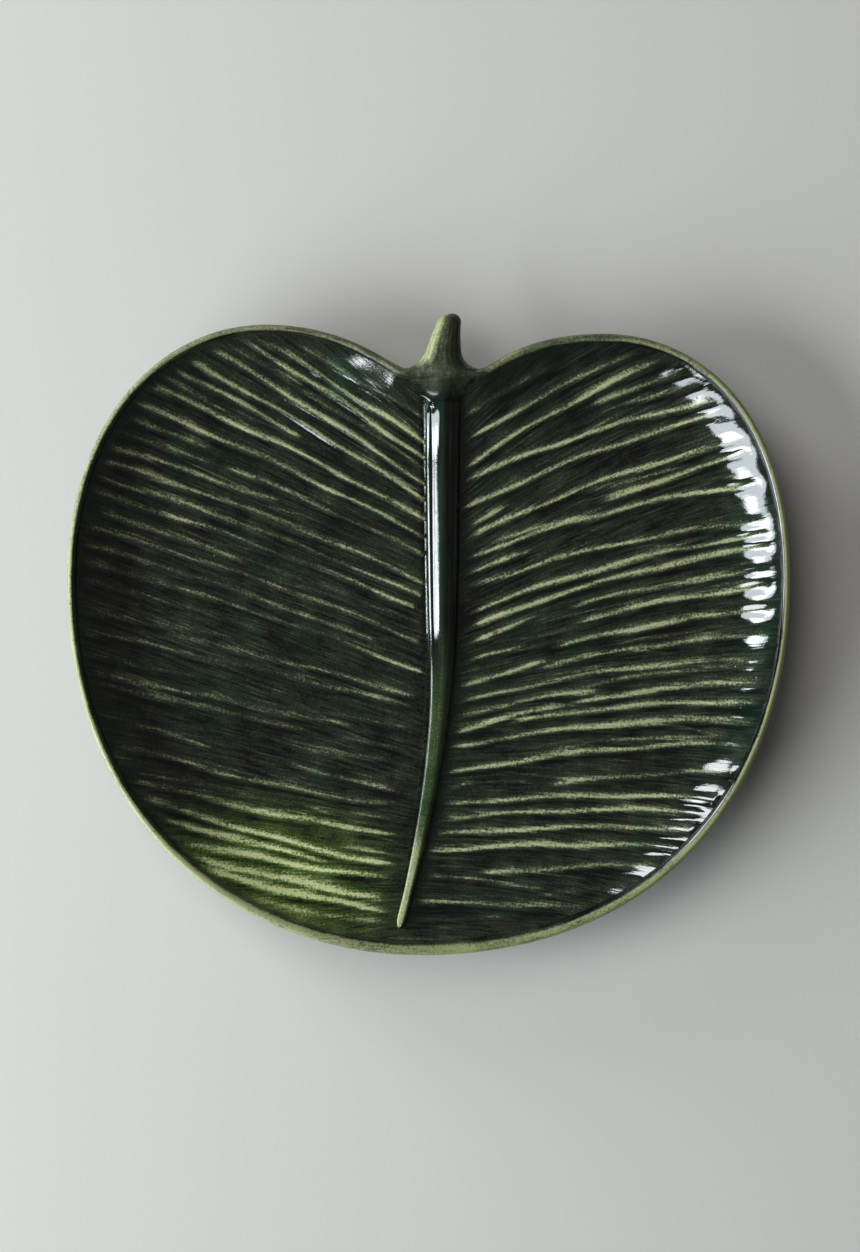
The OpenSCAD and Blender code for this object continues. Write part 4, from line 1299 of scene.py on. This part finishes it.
class StemShape:
    """Heights and widths of the stem along its length, from the midrib's joint to its round end."""

    def __init__(self, leaf):
        size = leaf.size
        reach = leaf.stem_reach
        round_from = reach - size.stem_end_width / 2
        self.leaf = leaf
        rooted, straight, rounded = STEM_COLUMNS
        self.out = np.concatenate([
            np.linspace(-JOINT_FROM_NOTCH, 0, rooted),
            np.linspace(2 * WELD, round_from, straight)[:-1],
            mix(round_from, reach, np.sin(np.linspace(0, math.pi / 2, rounded))),
        ])
        self.y = leaf.notch_y + self.out
        self.inside = np.minimum(self.y, leaf.notch_y)
        self.mid = STEM_X + STEM_LEAN * np.maximum(self.out / reach, 0) ** 2
        past_round = clamp01((self.out - round_from) / (reach - round_from))
        self.thick = (1 - past_round**STEM_END_CURVE) ** (1 / STEM_END_CURVE)
        self.free = smooth(self.out / STEM_FREE_RUN)
        self.axis = (leaf.lip_foot_z + size.crown_height) / 2
        self.lip_face = size.rim_height - LIP_ROUND
        self.bed = leaf.well_z(JOINT_FROM_NOTCH)
        rise = smooth(1 + self.out / JOINT_FROM_NOTCH)
        crown = mix(self.bed + size.midrib_height, size.crown_height, rise)
        self.below_crown = crown - leaf.drape_top(np.column_stack([self.mid, self.inside]), 0.0)
        root_hump = mix(size.midrib_width / 2, ROOT_HUMP, rise)
        self.hump = mix(root_hump, size.stem_width / 2, self.free)

    def across(self, u, hand):
        """X at a share of the half width. The root spreads over the lip, and a fillet leads out of it."""
        leaf, size, out = self.leaf, self.leaf.size, self.out
        fillet_r = ROOT_FILLET[hand]
        fillet = fillet_r - np.sqrt(fillet_r**2 - np.clip(fillet_r - out, 0, fillet_r) ** 2)
        round_from = leaf.stem_reach - size.stem_end_width / 2
        taper = mix(size.stem_width, size.stem_end_width, clamp01(out / round_from)) / 2 * self.thick
        t = clamp01(1 + out / JOINT_FROM_NOTCH)
        root = mix(size.midrib_width / 2, ROOT_NOTCH_HALF[hand], smooth(t))
        root += ROOT_SPREAD[hand] * np.sin(math.pi * t**ROOT_SPREAD_CURVE)
        return self.mid + u * np.where(out <= 0, root, taper + fillet)

    def plate_z(self, x, u):
        """Height of the lip and the well under the stem's root."""
        return self.leaf.drape_top(np.column_stack([x, self.inside]), abs(u) ** EDGE_CURVE)

    def upper_z(self, x, u):
        """Height of the top: round by the midrib, draped over the lip, and round again where it is free."""
        size = self.leaf.size
        ellipse = math.sqrt(1 - u * u)
        swell = smooth((HUMP_EDGE - np.abs(x - self.mid) / self.hump) / HUMP_BLEND)
        ribbed = self.bed + RIB_SHOULDER + (size.midrib_height - RIB_SHOULDER) * ellipse
        draped = self.plate_z(x, u) + self.below_crown * swell - ROOT_SINK * u**8
        on_plate = mix(ribbed, draped, smooth((self.out + JOINT_FROM_NOTCH) / JOINT_BLEND))
        web_rise = (size.crown_height - size.rim_height) * swell
        webbed = mix(size.rim_height, self.lip_face, abs(u) ** EDGE_CURVE) + web_rise
        top = mix(self.axis, size.crown_height, self.thick)
        beyond = mix(webbed, self.axis + (top - self.axis) * ellipse, self.free)
        return np.where(self.out <= 0, on_plate, beyond)

    def under_z(self, x, u):
        """Height of the underside, which is sunk into the plate as far as the lip."""
        ellipse = math.sqrt(1 - u * u)
        sunk = np.minimum(self.plate_z(x, u), self.bed + ROOT_SUNK_TOP) - ROOT_SUNK_EDGE
        sunk = sunk - ROOT_SUNK_MIDDLE * ellipse
        side = mix(self.lip_face, self.axis, self.free)
        bottom = mix(self.axis, self.leaf.lip_foot_z, self.thick)
        return np.where(self.out <= 0, sunk, side - (side - bottom) * ellipse)


class LEAFPLATE_OT_stem(bpy.types.Operator):
    """Builds the stem, which swells out of the lip and carries the midrib over the edge"""

    bl_idname = "leafplate.stem"
    bl_label = "Stem"

    def execute(self, context):
        stem = StemShape(LeafShape(context.scene.leafplate_size))
        points, flow, glazes = [], [], []
        for a in np.linspace(0, 2 * math.pi, STEM_ROWS):
            u = -math.cos(a)
            x = stem.across(u, LEFT if u < 0 else RIGHT)
            on_top = math.sin(a) > -1e-6
            z = stem.upper_z(x, u) if on_top else stem.under_z(x, u)
            points.append(np.column_stack([x, stem.y, z]))
            flow.append(np.column_stack([STEM_FLOW[0] * x, STEM_FLOW[1] * stem.y, 0 * x]))
            glazes.append(stem_glaze(u, stem.out))
        bm = tube(points, by_name(glazes), flow)
        material = glaze("olive_stem_glaze", context.scene.leafplate_glaze, STEM_LOOK)
        finish_piece(bm, "glazed_stem", "stem", material)
        return {"FINISHED"}


class LEAFPLATE_OT_foot(bpy.types.Operator):
    """Turns the foot ring under the blade"""

    bl_idname = "leafplate.foot"
    bl_label = "Foot ring"

    def execute(self, context):
        low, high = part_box("foot_ring")
        outer = (high.x - low.x) / 2
        height = high.z
        middle = foot_middle()
        flare = height / 3
        inner = outer - FOOT_WIDTH
        corners = ((inner, height), (inner + flare, 0.0), (outer - flare, 0.0), (outer, height))
        bm = bmesh.new()
        verts = [bm.verts.new((middle[0] + r, middle[1], z)) for r, z in corners]
        face = bm.faces.new(verts)
        rounded = [v for v in face.verts if v.co.z == 0.0]
        bmesh.ops.bevel(
            bm, geom=rounded, offset=FOOT_ROUND, offset_type="OFFSET", affect="VERTICES",
            segments=FOOT_ROUND_STEPS, profile=0.5, material=-1,
        )
        bmesh.ops.spin(
            bm, geom=bm.faces[:] + bm.edges[:], cent=(*middle, 0.0), axis=(0, 0, 1),
            angle=2 * math.pi, steps=FOOT_STEPS, use_merge=True,
        )
        bmesh.ops.remove_doubles(bm, verts=bm.verts, dist=WELD)
        # The section that was spun is left standing inside the ring
        inside = [f for f in bm.faces if abs(f.normal.z) < 0.01 and len(f.verts) > 4]
        bmesh.ops.delete(bm, geom=inside, context="FACES")
        material = bare_clay(context.scene.leafplate_glaze)
        finish_piece(bm, "turned_foot", "foot_ring", material)
        return {"FINISHED"}


class LEAFPLATE_OT_stage(bpy.types.Operator):
    """Sets up the floor, the light and the camera"""

    bl_idname = "leafplate.stage"
    bl_label = "Stage"

    def execute(self, context):
        stage = context.scene.leafplate_stage
        self.add_floor(stage)
        self.add_light(context, stage)
        self.add_camera(context, stage)
        context.scene.view_settings.view_transform = "Standard"
        return {"FINISHED"}

    def add_floor(self, stage):
        """A plain pale floor."""
        bm = bmesh.new()
        bmesh.ops.create_grid(bm, x_segments=1, y_segments=1, size=FLOOR_HALF)
        mesh = bpy.data.meshes.new("floor")
        bm.to_mesh(mesh)
        bm.free()
        material = bpy.data.materials.new("floor")
        nodes = Nodes(material)
        surface = nodes.add(
            "ShaderNodeBsdfPrincipled", {}, {"Base Color": (*stage.floor, 1.0), "Roughness": 0.9}
        )
        nodes.add("ShaderNodeOutputMaterial", {}, {"Surface": surface})
        mesh.materials.append(material)
        floor = bpy.data.objects.new("floor", mesh)
        bpy.context.collection.objects.link(floor)

    def add_light(self, context, stage):
        """A dim even sky and the soft lights."""
        world = bpy.data.worlds.new("studio")
        nodes = Nodes(world)
        sky = nodes.add("ShaderNodeBackground", {}, {"Color": (1.0, 1.0, 1.0, 1.0), "Strength": stage.sky})
        nodes.add("ShaderNodeOutputWorld", {}, {"Surface": sky})
        context.scene.world = world
        for name, box in SOFTBOXES.items():
            self.add_softbox(context, name, box, getattr(stage, name))

    def add_softbox(self, context, name, box, power):
        """A flat soft light that faces the plate."""
        light = bpy.data.lights.new(name, "AREA")
        light.shape = "ELLIPSE"
        light.size, light.size_y = box.size
        light.energy = power
        light.color = box.colour
        softbox = bpy.data.objects.new(name, light)
        turn, rise = math.radians(box.bearing), math.radians(box.climb)
        toward = Vector((math.cos(turn) * math.cos(rise), math.sin(turn) * math.cos(rise), math.sin(rise)))
        softbox.location = LIGHT_DISTANCE * toward
        softbox.rotation_euler = toward.to_track_quat("Z", "Y").to_euler()
        softbox.visible_glossy = box.mirrored
        context.collection.objects.link(softbox)

    def add_camera(self, context, stage):
        """A camera straight above, at the photograph's distance and framing."""
        data = bpy.data.cameras.new("camera")
        data.lens = stage.lens
        data.sensor_width = SENSOR
        distance = stage.lens / SENSOR * FRAME_PX[1] / PX_PER_METRE
        camera = bpy.data.objects.new("camera", data)
        camera.location = (
            (FRAME_PX[0] / 2 - PLATE_MIDDLE_PX[0]) / PX_PER_METRE,
            (PLATE_MIDDLE_PX[1] - FRAME_PX[1] / 2) / PX_PER_METRE,
            context.scene.leafplate_size.rim_height + distance,
        )
        context.collection.objects.link(camera)
        context.scene.camera = camera


class LEAFPLATE_PT_panel(bpy.types.Panel):
    """Lists the plate's sizes, colours, light and building steps"""

    bl_idname = "LEAFPLATE_PT_panel"
    bl_label = "Leaf Plate"
    bl_space_type = "VIEW_3D"
    bl_region_type = "UI"
    bl_category = "Leaf Plate"

    def draw(self, context):
        for group_name, group in GROUPS.items():
            box = self.layout.box()
            for name in group.__annotations__:
                box.prop(getattr(context.scene, group_name), name)
        for operator in OPERATORS:
            self.layout.operator(operator.bl_idname)


OPERATORS = (
    LEAFPLATE_OT_blade,
    LEAFPLATE_OT_lip,
    LEAFPLATE_OT_midrib,
    LEAFPLATE_OT_stem,
    LEAFPLATE_OT_foot,
    LEAFPLATE_OT_stage,
)
GROUPS = {
    "leafplate_size": LEAFPLATE_PG_size,
    "leafplate_glaze": LEAFPLATE_PG_glaze,
    "leafplate_stage": LEAFPLATE_PG_stage,
}


def register():
    """Registers the classes and gives the scene its groups of values."""
    for cls in (*GROUPS.values(), *OPERATORS, LEAFPLATE_PT_panel):
        bpy.utils.register_class(cls)
    for name, group in GROUPS.items():
        setattr(bpy.types.Scene, name, bpy.props.PointerProperty(type=group))


def unregister():
    """Takes back what register did."""
    for name in GROUPS:
        delattr(bpy.types.Scene, name)
    for cls in (LEAFPLATE_PT_panel, *reversed(OPERATORS), *reversed(GROUPS.values())):
        bpy.utils.unregister_class(cls)


def main():
    """Builds the plate and its stage."""
    register()
    bpy.ops.leafplate.blade()
    bpy.ops.leafplate.lip()
    bpy.ops.leafplate.midrib()
    bpy.ops.leafplate.stem()
    bpy.ops.leafplate.foot()
    bpy.ops.leafplate.stage()


if __name__ == "__main__":
    main()
